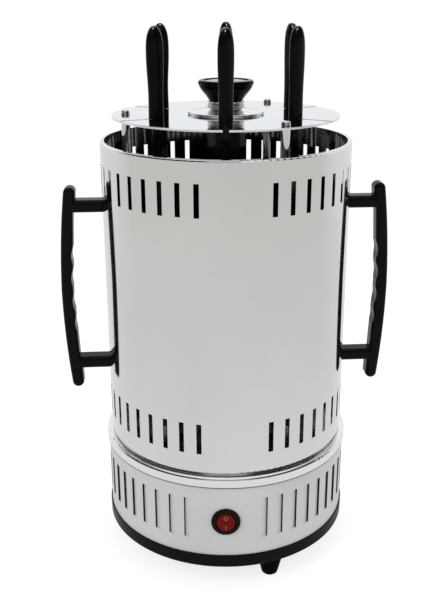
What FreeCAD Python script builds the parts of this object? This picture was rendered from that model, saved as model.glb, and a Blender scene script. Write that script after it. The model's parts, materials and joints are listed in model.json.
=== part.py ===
"""Electric skewer grill: six upright skewers turn round a central heater in a lift-off casing.

Millimetres, +Z up, origin on the table under the middle of the base, front towards -Y.
Azimuths are degrees from the front (-Y), counted towards the right (+X).
"""
import FreeCAD, Part
import math
import os
import re

import Sketcher

# Driving sizes. Every other size is a formula of these.
SIZES = {
    # common to many pieces
    "edge_break": 1.0,
    "overshoot": 1.0,
    "blind_gap": 1.0,
    # base, from the table up
    "foot_height": 18.3,
    "foot_top_radius": 11.5,
    "foot_tip_radius": 6.6,
    "foot_rim": 2.0,
    "foot_inset": 12.7,
    "tray_overhang": 1.1,
    "tray_rim_height": 11.6,
    "tray_edge": 1.5,
    "tray_floor": 3.0,
    "tray_wall": 2.5,
    "tray_spigot": 5.0,
    "vent_circle": 55.0,
    "vent_length": 24.0,
    "vent_width": 4.0,
    "skirt_radius": 101.7,
    "skirt_sheet": 0.8,
    "skirt_height": 61.2,
    "skirt_tuck": 5.0,
    "louvre_height": 37.8,
    "louvre_rise": 13.1,
    "louvre_width": 5.0,
    "louvre_depth": 1.7,
    "louvre_slit": 0.3,
    "louvre_cheek": 1.0,
    "deck_sheet": 1.0,
    "deck_rim_height": 8.6,
    "deck_corner": 2.5,
    "deck_seat_inset": 2.0,
    "deck_seat_rise": 1.2,
    "deck_step_inset": 6.9,
    "deck_step": 2.5,
    "sheet_gap": 0.1,
    "screw_radius": 2.0,
    "screw_head_radius": 4.0,
    "screw_head_height": 2.4,
    "sleeve_radius": 4.0,
    # drive
    "plate_inset": 6.7,
    "plate_sheet": 1.5,
    "plate_drop": 28.5,
    "tooth_module": 2.0,
    "tooth_backlash": 0.25,
    "gear_width": 8.0,
    "gear_lift": 4.0,
    "hub_radius": 8.0,
    "hub_rise": 3.0,
    "hub_gap": 2.0,
    "motor_radius": 27.0,
    "motor_height": 22.0,
    "motor_edge": 2.0,
    "ear_circle": 33.0,
    "ear_width": 12.0,
    "ear_overlap": 3.0,
    "ear_sheet": 2.0,
    "ear_screw_length": 5.0,
    "shaft_radius": 3.0,
    "shaft_rise": 4.0,
    "running_gap": 0.05,
    "rest_gap": 0.3,
    # spindles and drip cups
    "spindle_radius": 5.0,
    "spindle_foot": 3.0,
    "bush_wall": 2.0,
    "bush_flange_radius": 9.0,
    "bush_flange": 1.5,
    "bush_length": 8.0,
    "collar_radius": 9.0,
    "collar_height": 2.0,
    "boss_radius": 6.0,
    "boss_height": 11.7,
    "socket_depth": 10.7,
    "socket_play_wide": 0.5,
    "socket_play_flat": 0.4,
    "cup_radius": 22.0,
    "cup_foot_radius": 19.5,
    "cup_height": 11.0,
    "cup_sheet": 0.8,
    "cup_neck_height": 8.0,
    # skewers
    "blade_width": 7.0,
    "blade_sheet": 1.5,
    "blade_tip_width": 2.0,
    "blade_taper": 9.0,
    "blade_shoulder": 2.0,
    "journal_radius": 3.5,
    "journal_drop": 11.0,
    "tang_width": 5.0,
    "tang_length": 34.0,
    "grip_length": 66.0,
    "grip_foot_width": 9.6,
    "grip_width": 13.3,
    "grip_depth": 8.7,
    "grip_nose": 2.6,
    "grip_tip_width": 1.2,
    "grip_foot_edge": 0.8,
    "grip_belly": 0.76,
    # heater
    "heater_flange_radius": 20.0,
    "heater_flange": 5.0,
    "heater_socket_radius": 15.0,
    "heater_socket_height": 14.0,
    "heater_stem": 9.0,
    "tube_radius": 11.0,
    "tube_wall": 1.5,
    "tube_length": 205.6,
    "core_radius": 4.0,
    "coil_wire_radius": 0.6,
    "coil_pitch": 8.0,
    "coil_margin": 4.0,
    "heater_cap_radius": 14.0,
    "heater_cap_height": 14.0,
    "heater_cap_edge": 2.0,
    # posts and top disc
    "post_inset": 20.6,
    "post_radius": 3.35,
    "stub_radius": 2.0,
    "nut_radius": 3.9,
    "nut_height": 4.0,
    "cap_nut_radius": 3.4,
    "cap_nut_height": 3.6,
    "cap_nut_side": 1.6,
    "cap_nut_dome": 2.6,
    "cap_nut_crown": 1.5,
    "cap_nut_tip": 1.2,
    "disc_inset": 10.1,
    "disc_sheet": 1.0,
    "disc_lip": 2.5,
    "disc_edge": 0.6,
    "disc_lift": 18.9,
    "seat_radius": 3.8,
    "disc_slot_width": 4.5,
    # knob
    "knob_flange_radius": 30.0,
    "knob_flange_height": 3.0,
    "knob_flange_side": 0.9,
    "knob_flange_dome": 64.0,
    "knob_neck_foot": 11.2,
    "knob_neck_top": 13.4,
    "knob_neck_height": 6.0,
    "knob_neck_bulge": 3.5,
    "knob_washer": 0.8,
    "knob_washer_radius": 14.8,
    "knob_foot_radius": 13.4,
    "knob_radius": 21.6,
    "knob_height": 15.7,
    "knob_bowl": 34.0,
    "knob_rim_height": 3.6,
    "knob_rim_step": 0.5,
    "knob_edge": 1.7,
    "insert_radius": 17.5,
    "insert_sheet": 2.0,
    "insert_crown": 0.6,
    "stud_radius": 2.5,
    "stud_nut_radius": 5.0,
    "stud_nut_height": 4.0,
    # casing
    "casing_inset": 3.1,
    "casing_sheet": 0.7,
    "casing_height": 243.7,
    "casing_flange": 3.3,
    "casing_corner": 1.4,
    "slot_width": 4.0,
    "upper_slot_height": 24.6,
    "upper_slot_drop": 16.7,
    "lower_slot_height": 25.3,
    "lower_slot_rise": 16.6,
    # handles
    "handle_reach": 36.4,
    "handle_thickness": 9.5,
    "handle_width": 16.0,
    "handle_length": 171.4,
    "handle_rise": 35.8,
    "bracket_thickness": 10.0,
    "lower_bracket_rise": 22.0,
    "upper_bracket_drop": 15.5,
    "handle_end": 3.9,
    "handle_bow": 5.0,
    "low_end_lean": 4.5,
    "low_under_lean": 4.0,
    "low_inside_lean": 2.4,
    "high_inside_lean": 3.4,
    "high_over_lean": 5.4,
    "high_end_lean": 6.0,
    "handle_round": 3.6,
    "groove_pitch": 19.0,
    "groove_depth": 1.2,
    "groove_radius": 22.0,
    "handle_screw_depth": 14.0,
    # switch and cord gland
    "switch_rise": 31.2,
    "bezel_radius": 11.5,
    "bezel_height": 1.9,
    "bezel_edge": 0.9,
    "switch_bore": 7.9,
    "switch_bore_edge": 0.5,
    "switch_bore_depth": 11.0,
    "switch_body_radius": 9.8,
    "switch_body_length": 16.0,
    "terminal_length": 7.0,
    "terminal_spacing": 8.0,
    "terminal_width": 4.8,
    "terminal_sheet": 0.8,
    "rocker_radius": 7.6,
    "rocker_sink": 1.9,
    "rocker_face": 2.4,
    "rocker_depth": 5.0,
    "rocker_pin_radius": 1.0,
    "rocker_pin_reach": 9.0,
    "gland_rise": 20.0,
    "gland_flange_radius": 9.0,
    "gland_flange": 3.0,
    "gland_body_radius": 6.4,
    "gland_length": 9.0,
    "cord_bore_radius": 3.6,
}

# Angles in degrees, kept in the same sheet.
ANGLES = {
    "foot_turn": 24.0,
    "post_turn": 33.0,
    "carousel_turn": 0.0,
    "casing_turn": 4.3,
    "louvre_first": 18.75,
    "louvre_pitch": 7.5,
    "rocker_angle": 8.0,
}

SKEWERS = 6
POSTS = 3
FEET = 3
VENTS = 12
LOUVRES_PER_SIDE = 20
GROOVES = 4
DRIVE_TEETH = 36
PINION_TEETH = 24
PRESSURE_ANGLE = 20.0
# tooth heights outside and inside the pitch circle, in modules
ADDENDUM = 0.95
DEDENDUM = 1.25
# divisions of the casing's circle, and those left without a slot at the front and at the back
SLOT_DIVISIONS = 44
BLANK_DIVISIONS = 3
# whole pinion teeth by which each spindle stands turned at rest
REST_TEETH = (3, 5, 0, 3, 8, 0)

# Heights and places that follow from the driving sizes.
DERIVED = {
    "tray_top": "foot_height + tray_rim_height",
    "tray_inside": "foot_height + tray_floor",
    "tray_radius": "skirt_radius + tray_overhang",
    "foot_circle": "skirt_radius - foot_inset",
    "skirt_inner": "skirt_radius - skirt_sheet",
    "spigot_radius": "skirt_inner - sheet_gap",
    "skirt_top": "tray_top + skirt_height",
    "ledge": "skirt_top + deck_rim_height",
    "seat": "ledge + deck_seat_rise",
    "plateau": "seat + deck_step",
    "deck_under": "plateau - deck_sheet",
    "lip_radius": "skirt_radius + sheet_gap + deck_sheet",
    "deck_seat_radius": "casing_radius - deck_seat_inset",
    "deck_step_radius": "skirt_radius - deck_step_inset",
    "plate_radius": "skirt_radius - plate_inset",
    "plate_under": "deck_under - plate_drop",
    "plate_top": "plate_under + plate_sheet",
    "gear_bottom": "plate_top + gear_lift",
    "gear_top": "gear_bottom + gear_width",
    "skewer_circle": f"tooth_module * {DRIVE_TEETH + PINION_TEETH} / 2",
    "bush_radius": "spindle_radius + running_gap + bush_wall",
    "bush_top": "plateau + bush_flange",
    "collar_under": "bush_top + rest_gap",
    "collar_top": "collar_under + collar_height",
    "boss_top": "collar_top + boss_height",
    "cup_under": "collar_top + rest_gap",
    "cup_top": "cup_under + cup_height",
    "blade_bottom": "boss_top - socket_depth + rest_gap",
    "casing_bottom": "seat + rest_gap",
    "casing_top": "casing_bottom + casing_height",
    "casing_radius": "skirt_radius - casing_inset",
    "casing_inner": "casing_radius - casing_sheet",
    "post_circle": "casing_radius - post_inset",
    "disc_radius": "casing_radius - disc_inset",
    "disc_top": "casing_top + disc_lift",
    "disc_under": "disc_top - disc_sheet",
    "grip_bottom": "disc_top + rest_gap",
    "journal_bottom": "disc_top - journal_drop",
    "heater_seat": "plateau + heater_flange",
    "heater_tube_top": "heater_seat + tube_length",
    "heater_cap_bottom": "heater_tube_top - heater_cap_height / 2",
    "core_top": "heater_tube_top + heater_cap_height / 4",
    "neck_bottom": "disc_top + knob_flange_height",
    "washer_bottom": "neck_bottom + knob_neck_height",
    "knob_bottom": "washer_bottom + knob_washer",
    "knob_top": "knob_bottom + knob_height",
    "insert_bottom": "knob_top - insert_sheet",
    "lower_bracket": "casing_bottom + handle_rise + lower_bracket_rise",
    "upper_bracket": "handle_top - upper_bracket_drop",
    "handle_bottom": "casing_bottom + handle_rise",
    "handle_top": "handle_bottom + handle_length",
    "switch_height": "tray_top + switch_rise",
    "gland_height": "tray_top + gland_rise",
    "upper_slot_top": "casing_top - upper_slot_drop",
    "upper_slot_bottom": "upper_slot_top - upper_slot_height",
    "lower_slot_bottom": "casing_bottom + lower_slot_rise",
    "lower_slot_top": "lower_slot_bottom + lower_slot_height",
    "louvre_bottom": "tray_top + louvre_rise",
    "louvre_top": "louvre_bottom + louvre_height",
}

doc = FreeCAD.newDocument("skewer_grill")
sheet = doc.addObject("Spreadsheet::Sheet", "Sizes")
for row, (alias, number) in enumerate((SIZES | ANGLES).items(), start=1):
    sheet.set(f"A{row}", alias.replace("_", " "))
    sheet.set(f"B{row}", str(number))
    sheet.setAlias(f"B{row}", alias)
doc.recompute()

UP = FreeCAD.Vector(0, 0, 1)
EXPORTS = []


# ---------------------------------------------------------------- formulas and sketches
def formula(text):
    """Spell a formula out in the sheet's cells."""
    def cell(match):
        word = match.group(0)
        if word in DERIVED:
            return "(" + formula(DERIVED[word]) + ")"
        return "Sizes." + word if word in SIZES or word in ANGLES else word
    return re.sub(r"[a-z_]\w*", cell, str(text))


def size(text):
    """The present value of a formula."""
    return float(sheet.evalExpression(formula(text)))


def bind(item, prop, text):
    item.setExpression(prop, formula(text))


def origin_plane(body, role):
    return next(f for f in body.Origin.OriginFeatures if f.Role == role)


def new_body(name):
    return doc.addObject("PartDesign::Body", name)


def pin_vertex(sketch, index, edge, end, point):
    """Hold one corner of a sketch at its two formulas."""
    rules = (("x", "DistanceX", -2), ("y", "DistanceY", -1))
    for (letter, kind, axis), text in zip(rules, point[:2]):
        if text == "0":
            sketch.addConstraint(Sketcher.Constraint("PointOnObject", edge, end, axis))
            continue
        rule = sketch.addConstraint(Sketcher.Constraint(kind, -1, 1, edge, end, size(text)))
        sketch.renameConstraint(rule, f"{letter}{index}")
        bind(sketch, f"Constraints.{letter}{index}", text)


def arc_between(start, end, radius, side):
    """The short arc from start to end, turning left (side 1) or right (side -1)."""
    chord = end - start
    rise = math.sqrt(max(radius ** 2 - (chord.Length / 2) ** 2, 0.0))
    normal = FreeCAD.Vector(-chord.y, chord.x, 0).normalize()
    centre = (start + end) * 0.5 + normal * (rise * side)
    first, last = (start, end) if side > 0 else (end, start)
    angles = [math.atan2(p.y - centre.y, p.x - centre.x) for p in (first, last)]
    if angles[1] < angles[0]:
        angles[1] += 2 * math.pi
    return Part.ArcOfCircle(Part.Circle(centre, UP, radius), angles[0], angles[1])


def draw_loop(sketch, points, tag):
    """Draw a closed outline of (x, y) corners; (x, y, radius, side) leaves along an arc."""
    corners = [FreeCAD.Vector(size(p[0]), size(p[1]), 0) for p in points]
    count = len(points)
    ends = []
    for i, point in enumerate(points):
        start, end = corners[i], corners[(i + 1) % count]
        if len(point) == 2:
            edge = sketch.addGeometry(Part.LineSegment(start, end), False)
            ends.append((edge, 1, 2))
            continue
        radius, side = point[2], point[3]
        edge = sketch.addGeometry(arc_between(start, end, size(radius), side), False)
        rule = sketch.addConstraint(Sketcher.Constraint("Radius", edge, size(radius)))
        sketch.renameConstraint(rule, f"r{tag}{i}")
        bind(sketch, f"Constraints.r{tag}{i}", radius)
        ends.append((edge, 1, 2) if side > 0 else (edge, 2, 1))
    for i, (edge, first, last) in enumerate(ends):
        following = ends[(i + 1) % count]
        join = Sketcher.Constraint("Coincident", edge, last, following[0], following[1])
        sketch.addConstraint(join)
        pin_vertex(sketch, f"{tag}{i}", edge, first, points[i])


def draw_circle(sketch, circle, tag):
    x, y, radius = circle
    shape = Part.Circle(FreeCAD.Vector(size(x), size(y), 0), UP, size(radius))
    edge = sketch.addGeometry(shape, False)
    rule = sketch.addConstraint(Sketcher.Constraint("Radius", edge, size(radius)))
    sketch.renameConstraint(rule, f"r{tag}")
    bind(sketch, f"Constraints.r{tag}", radius)
    pin_vertex(sketch, tag, edge, 3, (x, y))


def sketch_on(body, name, role, loops=(), circles=(), lift="0", turn="0"):
    """A sketch on one of the body's own planes; turn swings an upright plane about +Z."""
    sketch = body.newObject("Sketcher::SketchObject", name)
    sketch.AttachmentSupport = (origin_plane(body, role), [""])
    sketch.MapMode = "FlatFace"
    axis = UP if role == "XY_Plane" else FreeCAD.Vector(0, 1, 0)
    offset = FreeCAD.Placement(FreeCAD.Vector(0, 0, size(lift)), FreeCAD.Rotation(axis, size(turn)))
    sketch.AttachmentOffset = offset
    if lift != "0":
        bind(sketch, ".AttachmentOffset.Base.z", lift)
    if turn != "0":
        bind(sketch, ".AttachmentOffset.Rotation.Angle", turn)
    for i, loop in enumerate(loops):
        draw_loop(sketch, loop, "abcdefghijklmnop"[i])
    for i, circle in enumerate(circles):
        draw_circle(sketch, circle, "qrstuvwxyz"[i])
    doc.recompute()
    return sketch


def on_circle(circle, azimuth, radius):
    """A hole centre on a circle round the Z axis, as a sketch's circle."""
    if circle == "0":
        return ("0", "0", radius)
    if azimuth == "90":
        return (circle, "0", radius)
    return (f"({circle}) * sin({azimuth})", f"0 - ({circle}) * cos({azimuth})", radius)


def rectangle(x0, x1, y0, y1):
    return [(x0, y0), (x1, y0), (x1, y1), (x0, y1)]


# ---------------------------------------------------------------- features
def feature(body, kind, name, profile):
    item = body.newObject("PartDesign::" + kind, name)
    item.Profile = profile
    return item


def revolve(body, loop, name="turned", kind="Revolution", role="XZ_Plane"):
    """Turn an outline of (radius, height) corners about the body's Z axis."""
    sketch = sketch_on(body, name + "_outline", role, [loop])
    turned = feature(body, kind, name, sketch)
    turned.ReferenceAxis = (sketch, ["V_Axis"])
    turned.Angle = 360
    doc.recompute()
    return turned


def extrude(body, sketch, name, length, cut=False, both_ways=False, backwards=False):
    """Pad or pocket a sketch, and see that a pocket really takes material away."""
    before = body.Shape.Volume if cut else 0.0
    item = feature(body, "Pocket" if cut else "Pad", name, sketch)
    if length is None:
        item.Type = "ThroughAll"
    else:
        bind(item, "Length", length)
    if both_ways:
        item.SideType = "Symmetric"
    item.Reversed = backwards
    doc.recompute()
    if cut and not item.Shape.Volume < before:
        raise RuntimeError(f"{body.Name}.{name} cuts nothing")
    return item


def repeat(body, original, name, count, angle="360", backwards=False):
    """Repeat a feature round the body's Z axis over an angle."""
    pattern = body.newObject("PartDesign::PolarPattern", name)
    pattern.Originals = [original]
    axis = next(f for f in body.Origin.OriginFeatures if f.Role == "Z_Axis")
    pattern.Axis = (axis, [""])
    pattern.Occurrences = count
    bind(pattern, "Angle", angle)
    pattern.Reversed = backwards
    body.Tip = pattern
    doc.recompute()
    return pattern


def round_edges(body, base, name, radius, wanted):
    """Fillet the edges of a feature that the test function picks."""
    names = [f"Edge{i}" for i, e in enumerate(base.Shape.Edges, start=1) if wanted(e)]
    item = body.newObject("PartDesign::Fillet", name)
    item.Base = (base, names)
    bind(item, "Radius", radius)
    body.Tip = item
    doc.recompute()
    return item


def publish(item, label):
    """Name a sub-part and put it on the list that is written out."""
    item.Label = label
    if item.Label != label:
        raise RuntimeError(f"{label} is used twice")
    EXPORTS.append(item)
    return item


def copy_on_circle(master, name, circle, azimuth, spin="0"):
    """Another instance of a master piece, standing on a circle round the Z axis."""
    item = doc.addObject("Part::Compound", name)
    item.Links = [master]
    item.Placement = FreeCAD.Placement(FreeCAD.Vector(), FreeCAD.Rotation(UP, 0.0))
    bind(item, ".Placement.Base.x", f"({circle}) * sin({azimuth})")
    bind(item, ".Placement.Base.y", f"-({circle}) * cos({azimuth})")
    bind(item, ".Placement.Rotation.Angle", f"({azimuth}) + ({spin})")
    return item


def ring_of(master, label, circle, azimuth, count):
    """A group of equal pieces on a circle, kept as one sub-part of separate solids."""
    step = 360 / count
    parts = [
        copy_on_circle(master, f"{label}_{i + 1}", circle, f"{azimuth} + {step * i:g}")
        for i in range(count)
    ]
    group = doc.addObject("Part::Compound", label + "_group")
    group.Links = parts
    return publish(group, label)


def skewer_azimuth(index):
    return f"(carousel_turn + {360 / SKEWERS * index:g})"


# ---------------------------------------------------------------- base
def make_tray():
    """Moulded tray: the black ring under the skirt, with the floor and its air slots."""
    body = new_body("tray")
    revolve(body, [
        ("0", "foot_height"),
        ("tray_radius - tray_edge", "foot_height"),
        ("tray_radius", "foot_height + tray_edge"),
        ("tray_radius", "tray_top"),
        ("spigot_radius", "tray_top"),
        ("spigot_radius", "tray_top + tray_spigot"),
        ("spigot_radius - tray_wall", "tray_top + tray_spigot"),
        ("spigot_radius - tray_wall", "tray_inside"),
        ("0", "tray_inside"),
    ])
    near = "-(vent_circle - vent_length / 2)"
    far = "-(vent_circle + vent_length / 2)"
    slot = rectangle("-vent_width / 2", "vent_width / 2", far, near)
    vent = extrude(body, sketch_on(body, "vent", "XY_Plane", [slot], lift="tray_inside + overshoot"),
                   "vent_cut", "tray_floor + 2 * overshoot", cut=True)
    repeat(body, vent, "vents", VENTS)
    hole = sketch_on(body, "tie", "XY_Plane", lift="tray_inside + overshoot",
                     circles=[on_circle("foot_circle", "foot_turn", "screw_radius")])
    cut = extrude(body, hole, "tie_cut", "tray_floor + 2 * overshoot", cut=True)
    repeat(body, cut, "tie_holes", FEET)
    publish(body, "bottom_tray")


def make_feet():
    """Tapered feet, each threaded on the end of a tie screw."""
    body = new_body("foot")
    revolve(body, [
        ("0", "0"),
        ("foot_tip_radius - edge_break", "0"),
        ("foot_tip_radius", "edge_break"),
        ("foot_top_radius - edge_break", "foot_height - foot_rim"),
        ("foot_top_radius", "foot_height - foot_rim"),
        ("foot_top_radius", "foot_height"),
        ("screw_radius", "foot_height"),
        ("screw_radius", "foot_height / 2"),
        ("0", "foot_height / 2"),
    ])
    ring_of(body, "feet", "foot_circle", "foot_turn", FEET)


def louvre_outline(side, cut):
    """Plan of a louvre at the front of the skirt: its wedge, or the recess behind the flap."""
    hinge, mouth = f"{-side} * louvre_width", f"{side} * louvre_slit"
    at_hinge = "0 - sqrt(skirt_radius * skirt_radius - louvre_width * louvre_width)"
    if cut:
        return [
            (hinge, at_hinge),
            (mouth, "0 - skirt_radius - overshoot"),
            (mouth, "louvre_depth - skirt_radius"),
            ("0", "louvre_depth - skirt_radius"),
        ]
    return [
        (hinge, f"{at_hinge} + skirt_sheet / 2"),
        ("0", "skirt_sheet / 2 - skirt_radius"),
        ("0", "louvre_depth + skirt_sheet - skirt_radius"),
        (hinge, f"{at_hinge} + skirt_sheet"),
    ]


def add_louvres(body, side):
    """Press a run of louvres into one side of the skirt, open towards the back."""
    word = "right" if side > 0 else "left"
    turn, angle = f"{side} * louvre_first", f"louvre_pitch * {LOUVRES_PER_SIDE - 1}"
    wedge = sketch_on(body, f"wedge_{word}", "XY_Plane", [louvre_outline(side, False)],
                      lift="louvre_bottom", turn=turn)
    pad = extrude(body, wedge, f"wedge_pad_{word}", "louvre_height")
    repeat(body, pad, f"wedges_{word}", LOUVRES_PER_SIDE, angle, backwards=side < 0)
    recess = sketch_on(body, f"recess_{word}", "XY_Plane", [louvre_outline(side, True)],
                       lift="louvre_top - louvre_cheek", turn=turn)
    cut = extrude(body, recess, f"recess_cut_{word}", "louvre_height - 2 * louvre_cheek", cut=True)
    repeat(body, cut, f"recesses_{word}", LOUVRES_PER_SIDE, angle, backwards=side < 0)


def make_skirt():
    """Painted sheet cylinder with louvres, a hole for the switch and one for the gland."""
    body = new_body("skirt")
    revolve(body, rectangle("skirt_inner", "skirt_radius", "tray_top", "skirt_top + skirt_tuck"))
    add_louvres(body, 1)
    add_louvres(body, -1)
    hole = sketch_on(body, "switch_hole", "XZ_Plane",
                     circles=[("0", "switch_height", "switch_body_radius + sheet_gap")])
    extrude(body, hole, "switch_cut", None, cut=True, backwards=True)
    hole = sketch_on(body, "gland_hole", "XZ_Plane",
                     circles=[("0", "gland_height", "gland_body_radius + sheet_gap")])
    extrude(body, hole, "gland_cut", None, cut=True)
    publish(body, "base_skirt")


def make_deck():
    """Polished pressing on the base: rim, rounded shoulder, ledge, seat ring and plateau."""
    body = new_body("deck")
    step_inner = "deck_step_radius - deck_sheet"
    seat_inner = "deck_seat_radius - deck_sheet"
    inner_lip = "lip_radius - deck_sheet"
    revolve(body, [
        ("0", "deck_under"),
        (step_inner, "deck_under"),
        (step_inner, "seat - deck_sheet"),
        (seat_inner, "seat - deck_sheet"),
        (seat_inner, "ledge - deck_sheet"),
        ("lip_radius - deck_corner", "ledge - deck_sheet", "deck_corner - deck_sheet", -1),
        (inner_lip, "ledge - deck_corner"),
        (inner_lip, "skirt_top"),
        ("lip_radius", "skirt_top"),
        ("lip_radius", "ledge - deck_corner", "deck_corner", 1),
        ("lip_radius - deck_corner", "ledge"),
        ("deck_seat_radius", "ledge"),
        ("deck_seat_radius", "seat"),
        ("deck_step_radius", "seat"),
        ("deck_step_radius", "plateau"),
        ("0", "plateau"),
    ])

    def drill(name, circle, azimuth, radius, count):
        hole = sketch_on(body, name, "XY_Plane", lift="plateau + overshoot",
                         circles=[on_circle(circle, azimuth, radius)])
        cut = extrude(body, hole, name + "_cut", "deck_sheet + 2 * overshoot", cut=True)
        if count > 1:
            repeat(body, cut, name + "s", count)

    drill("heater_hole", "0", "0", "heater_socket_radius", 1)
    drill("bush_hole", "skewer_circle", "carousel_turn", "bush_radius", SKEWERS)
    drill("post_hole", "post_circle", "post_turn", "stub_radius", POSTS)
    drill("tie_hole", "foot_circle", "foot_turn", "screw_radius", FEET)
    publish(body, "base_deck")


def make_tie_screws():
    """Long screws that clamp deck, gear plate, tray and feet together."""
    body = new_body("tie_screw")
    revolve(body, [
        ("0", "foot_height / 2 + blind_gap"),
        ("screw_radius", "foot_height / 2 + blind_gap"),
        ("screw_radius", "plateau"),
        ("screw_head_radius", "plateau"),
        ("screw_head_radius", "plateau + screw_head_height / 2"),
        ("screw_radius", "plateau + screw_head_height"),
        ("0", "plateau + screw_head_height"),
    ])
    ring_of(body, "tie_screws", "foot_circle", "foot_turn", FEET)


def make_sleeves():
    """Spacer tubes on the tie screws, below and above the gear plate."""
    sleeves = []
    for name, low, high in (("lower", "tray_inside", "plate_under"),
                            ("upper", "plate_top", "deck_under")):
        body = new_body("sleeve_" + name)
        revolve(body, rectangle("screw_radius", "sleeve_radius", low, high))
        sleeves.append(body)
    pair = doc.addObject("Part::Compound", "sleeve_pair")
    pair.Links = sleeves
    ring_of(pair, "spacer_sleeves", "foot_circle", "foot_turn", FEET)


def make_gear_plate():
    """Sheet steel plate with the spindles' lower bearings and the motor's seat."""
    body = new_body("plate")
    revolve(body, rectangle("0", "plate_radius", "plate_under", "plate_top"))
    holes = (
        ("shaft", "0", "0", "hub_radius + hub_gap", 1),
        ("bearing", "skewer_circle", "carousel_turn", "spindle_radius + running_gap", SKEWERS),
        ("tie", "foot_circle", "foot_turn", "screw_radius", FEET),
        ("ear_screw", "ear_circle", "90", "screw_radius", 2),
    )
    for name, circle, azimuth, radius, count in holes:
        hole = sketch_on(body, name, "XY_Plane", lift="plate_top + overshoot",
                         circles=[on_circle(circle, azimuth, radius)])
        cut = extrude(body, hole, name + "_cut", "plate_sheet + 2 * overshoot", cut=True)
        if count > 1:
            repeat(body, cut, name + "s", count)
    publish(body, "gear_plate")


# ---------------------------------------------------------------- drive
def make_motor():
    """Slow gear motor hung under the plate, with two ears for its screws."""
    body = new_body("motor_can")
    bore = "shaft_radius + running_gap"
    revolve(body, [
        ("0", "plate_under - motor_height"),
        ("motor_radius - motor_edge", "plate_under - motor_height"),
        ("motor_radius", "plate_under - motor_height + motor_edge"),
        ("motor_radius", "plate_under"),
        ("hub_radius", "plate_under"),
        ("hub_radius", "plate_top"),
        (bore, "plate_top"),
        (bore, "plate_under - motor_height / 2"),
        ("0", "plate_under - motor_height / 2"),
    ])
    plan = rectangle("motor_radius - ear_overlap", "ear_circle + screw_head_radius + edge_break",
                     "-ear_width / 2", "ear_width / 2")
    ear = sketch_on(body, "ear", "XY_Plane", [plan], lift="plate_under")
    pad = extrude(body, ear, "ear_pad", "ear_sheet", backwards=True)
    repeat(body, pad, "ears", 2)
    hole = sketch_on(body, "ear_hole", "XY_Plane",
                     circles=[("ear_circle", "0", "screw_radius")], lift="plate_under + overshoot")
    cut = extrude(body, hole, "ear_hole_cut", "ear_sheet + 2 * overshoot", cut=True)
    repeat(body, cut, "ear_holes", 2)
    publish(body, "motor")

    screw = new_body("motor_screw")
    revolve(screw, [
        ("0", "plate_under - ear_screw_length"),
        ("screw_radius", "plate_under - ear_screw_length"),
        ("screw_radius", "plate_top"),
        ("screw_head_radius", "plate_top"),
        ("screw_head_radius", "plate_top + screw_head_height / 2"),
        ("0", "plate_top + screw_head_height / 2"),
    ])
    ring_of(screw, "motor_screws", "ear_circle", "90", 2)


def involute(angle):
    return math.tan(angle) - angle


def gear_face(teeth, bore):
    """Plan of a spur gear with a tooth centred on the front (-Y) side."""
    module, slack = size("tooth_module"), size("tooth_backlash")
    pitch = module * teeth / 2
    root, tip = pitch - DEDENDUM * module, pitch + ADDENDUM * module
    base = pitch * math.cos(math.radians(PRESSURE_ANGLE))
    half = math.pi / (2 * teeth) - slack / (4 * pitch) + involute(math.radians(PRESSURE_ANGLE))
    flank = []
    for radius in (root, max(base, root), pitch, tip):
        spread = half - involute(math.acos(min(base / radius, 1.0)))
        flank.append((radius, spread))
    points = []
    for tooth in range(teeth):
        middle = -math.pi / 2 + 2 * math.pi * tooth / teeth
        for radius, spread in flank:
            points.append((radius, middle - spread))
        for radius, spread in reversed(flank):
            points.append((radius, middle + spread))
    corners = [FreeCAD.Vector(r * math.cos(a), r * math.sin(a), 0) for r, a in points]
    wheel = Part.Face(Part.makePolygon(corners + corners[:1]))
    hole = Part.Face(Part.Wire(Part.makeCircle(bore)))
    return wheel.cut(hole)


def make_drive_gear():
    """Central gear on the motor's shaft, and the shaft."""
    rim = gear_face(DRIVE_TEETH, size("shaft_radius"))
    teeth = rim.extrude(UP * size("gear_width"))
    teeth.translate(UP * size("gear_bottom"))
    low, high = size("plate_top + rest_gap"), size("gear_top + hub_rise")
    hub = Part.makeCylinder(size("hub_radius"), high - low, UP * low)
    bore = Part.makeCylinder(size("shaft_radius"), high - low, UP * low)
    gear = doc.addObject("Part::Feature", "sun_gear")
    gear.Shape = teeth.fuse(hub).cut(bore).removeSplitter()
    gear.Placement.Rotation = FreeCAD.Rotation(UP, size("carousel_turn"))
    publish(gear, "drive_gear")

    shaft = doc.addObject("Part::Cylinder", "output_shaft")
    bind(shaft, "Radius", "shaft_radius")
    bind(shaft, "Height", "gear_top + shaft_rise - (plate_under - motor_height / 2 + blind_gap)")
    bind(shaft, ".Placement.Base.z", "plate_under - motor_height / 2 + blind_gap")
    publish(shaft, "motor_shaft")


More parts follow.
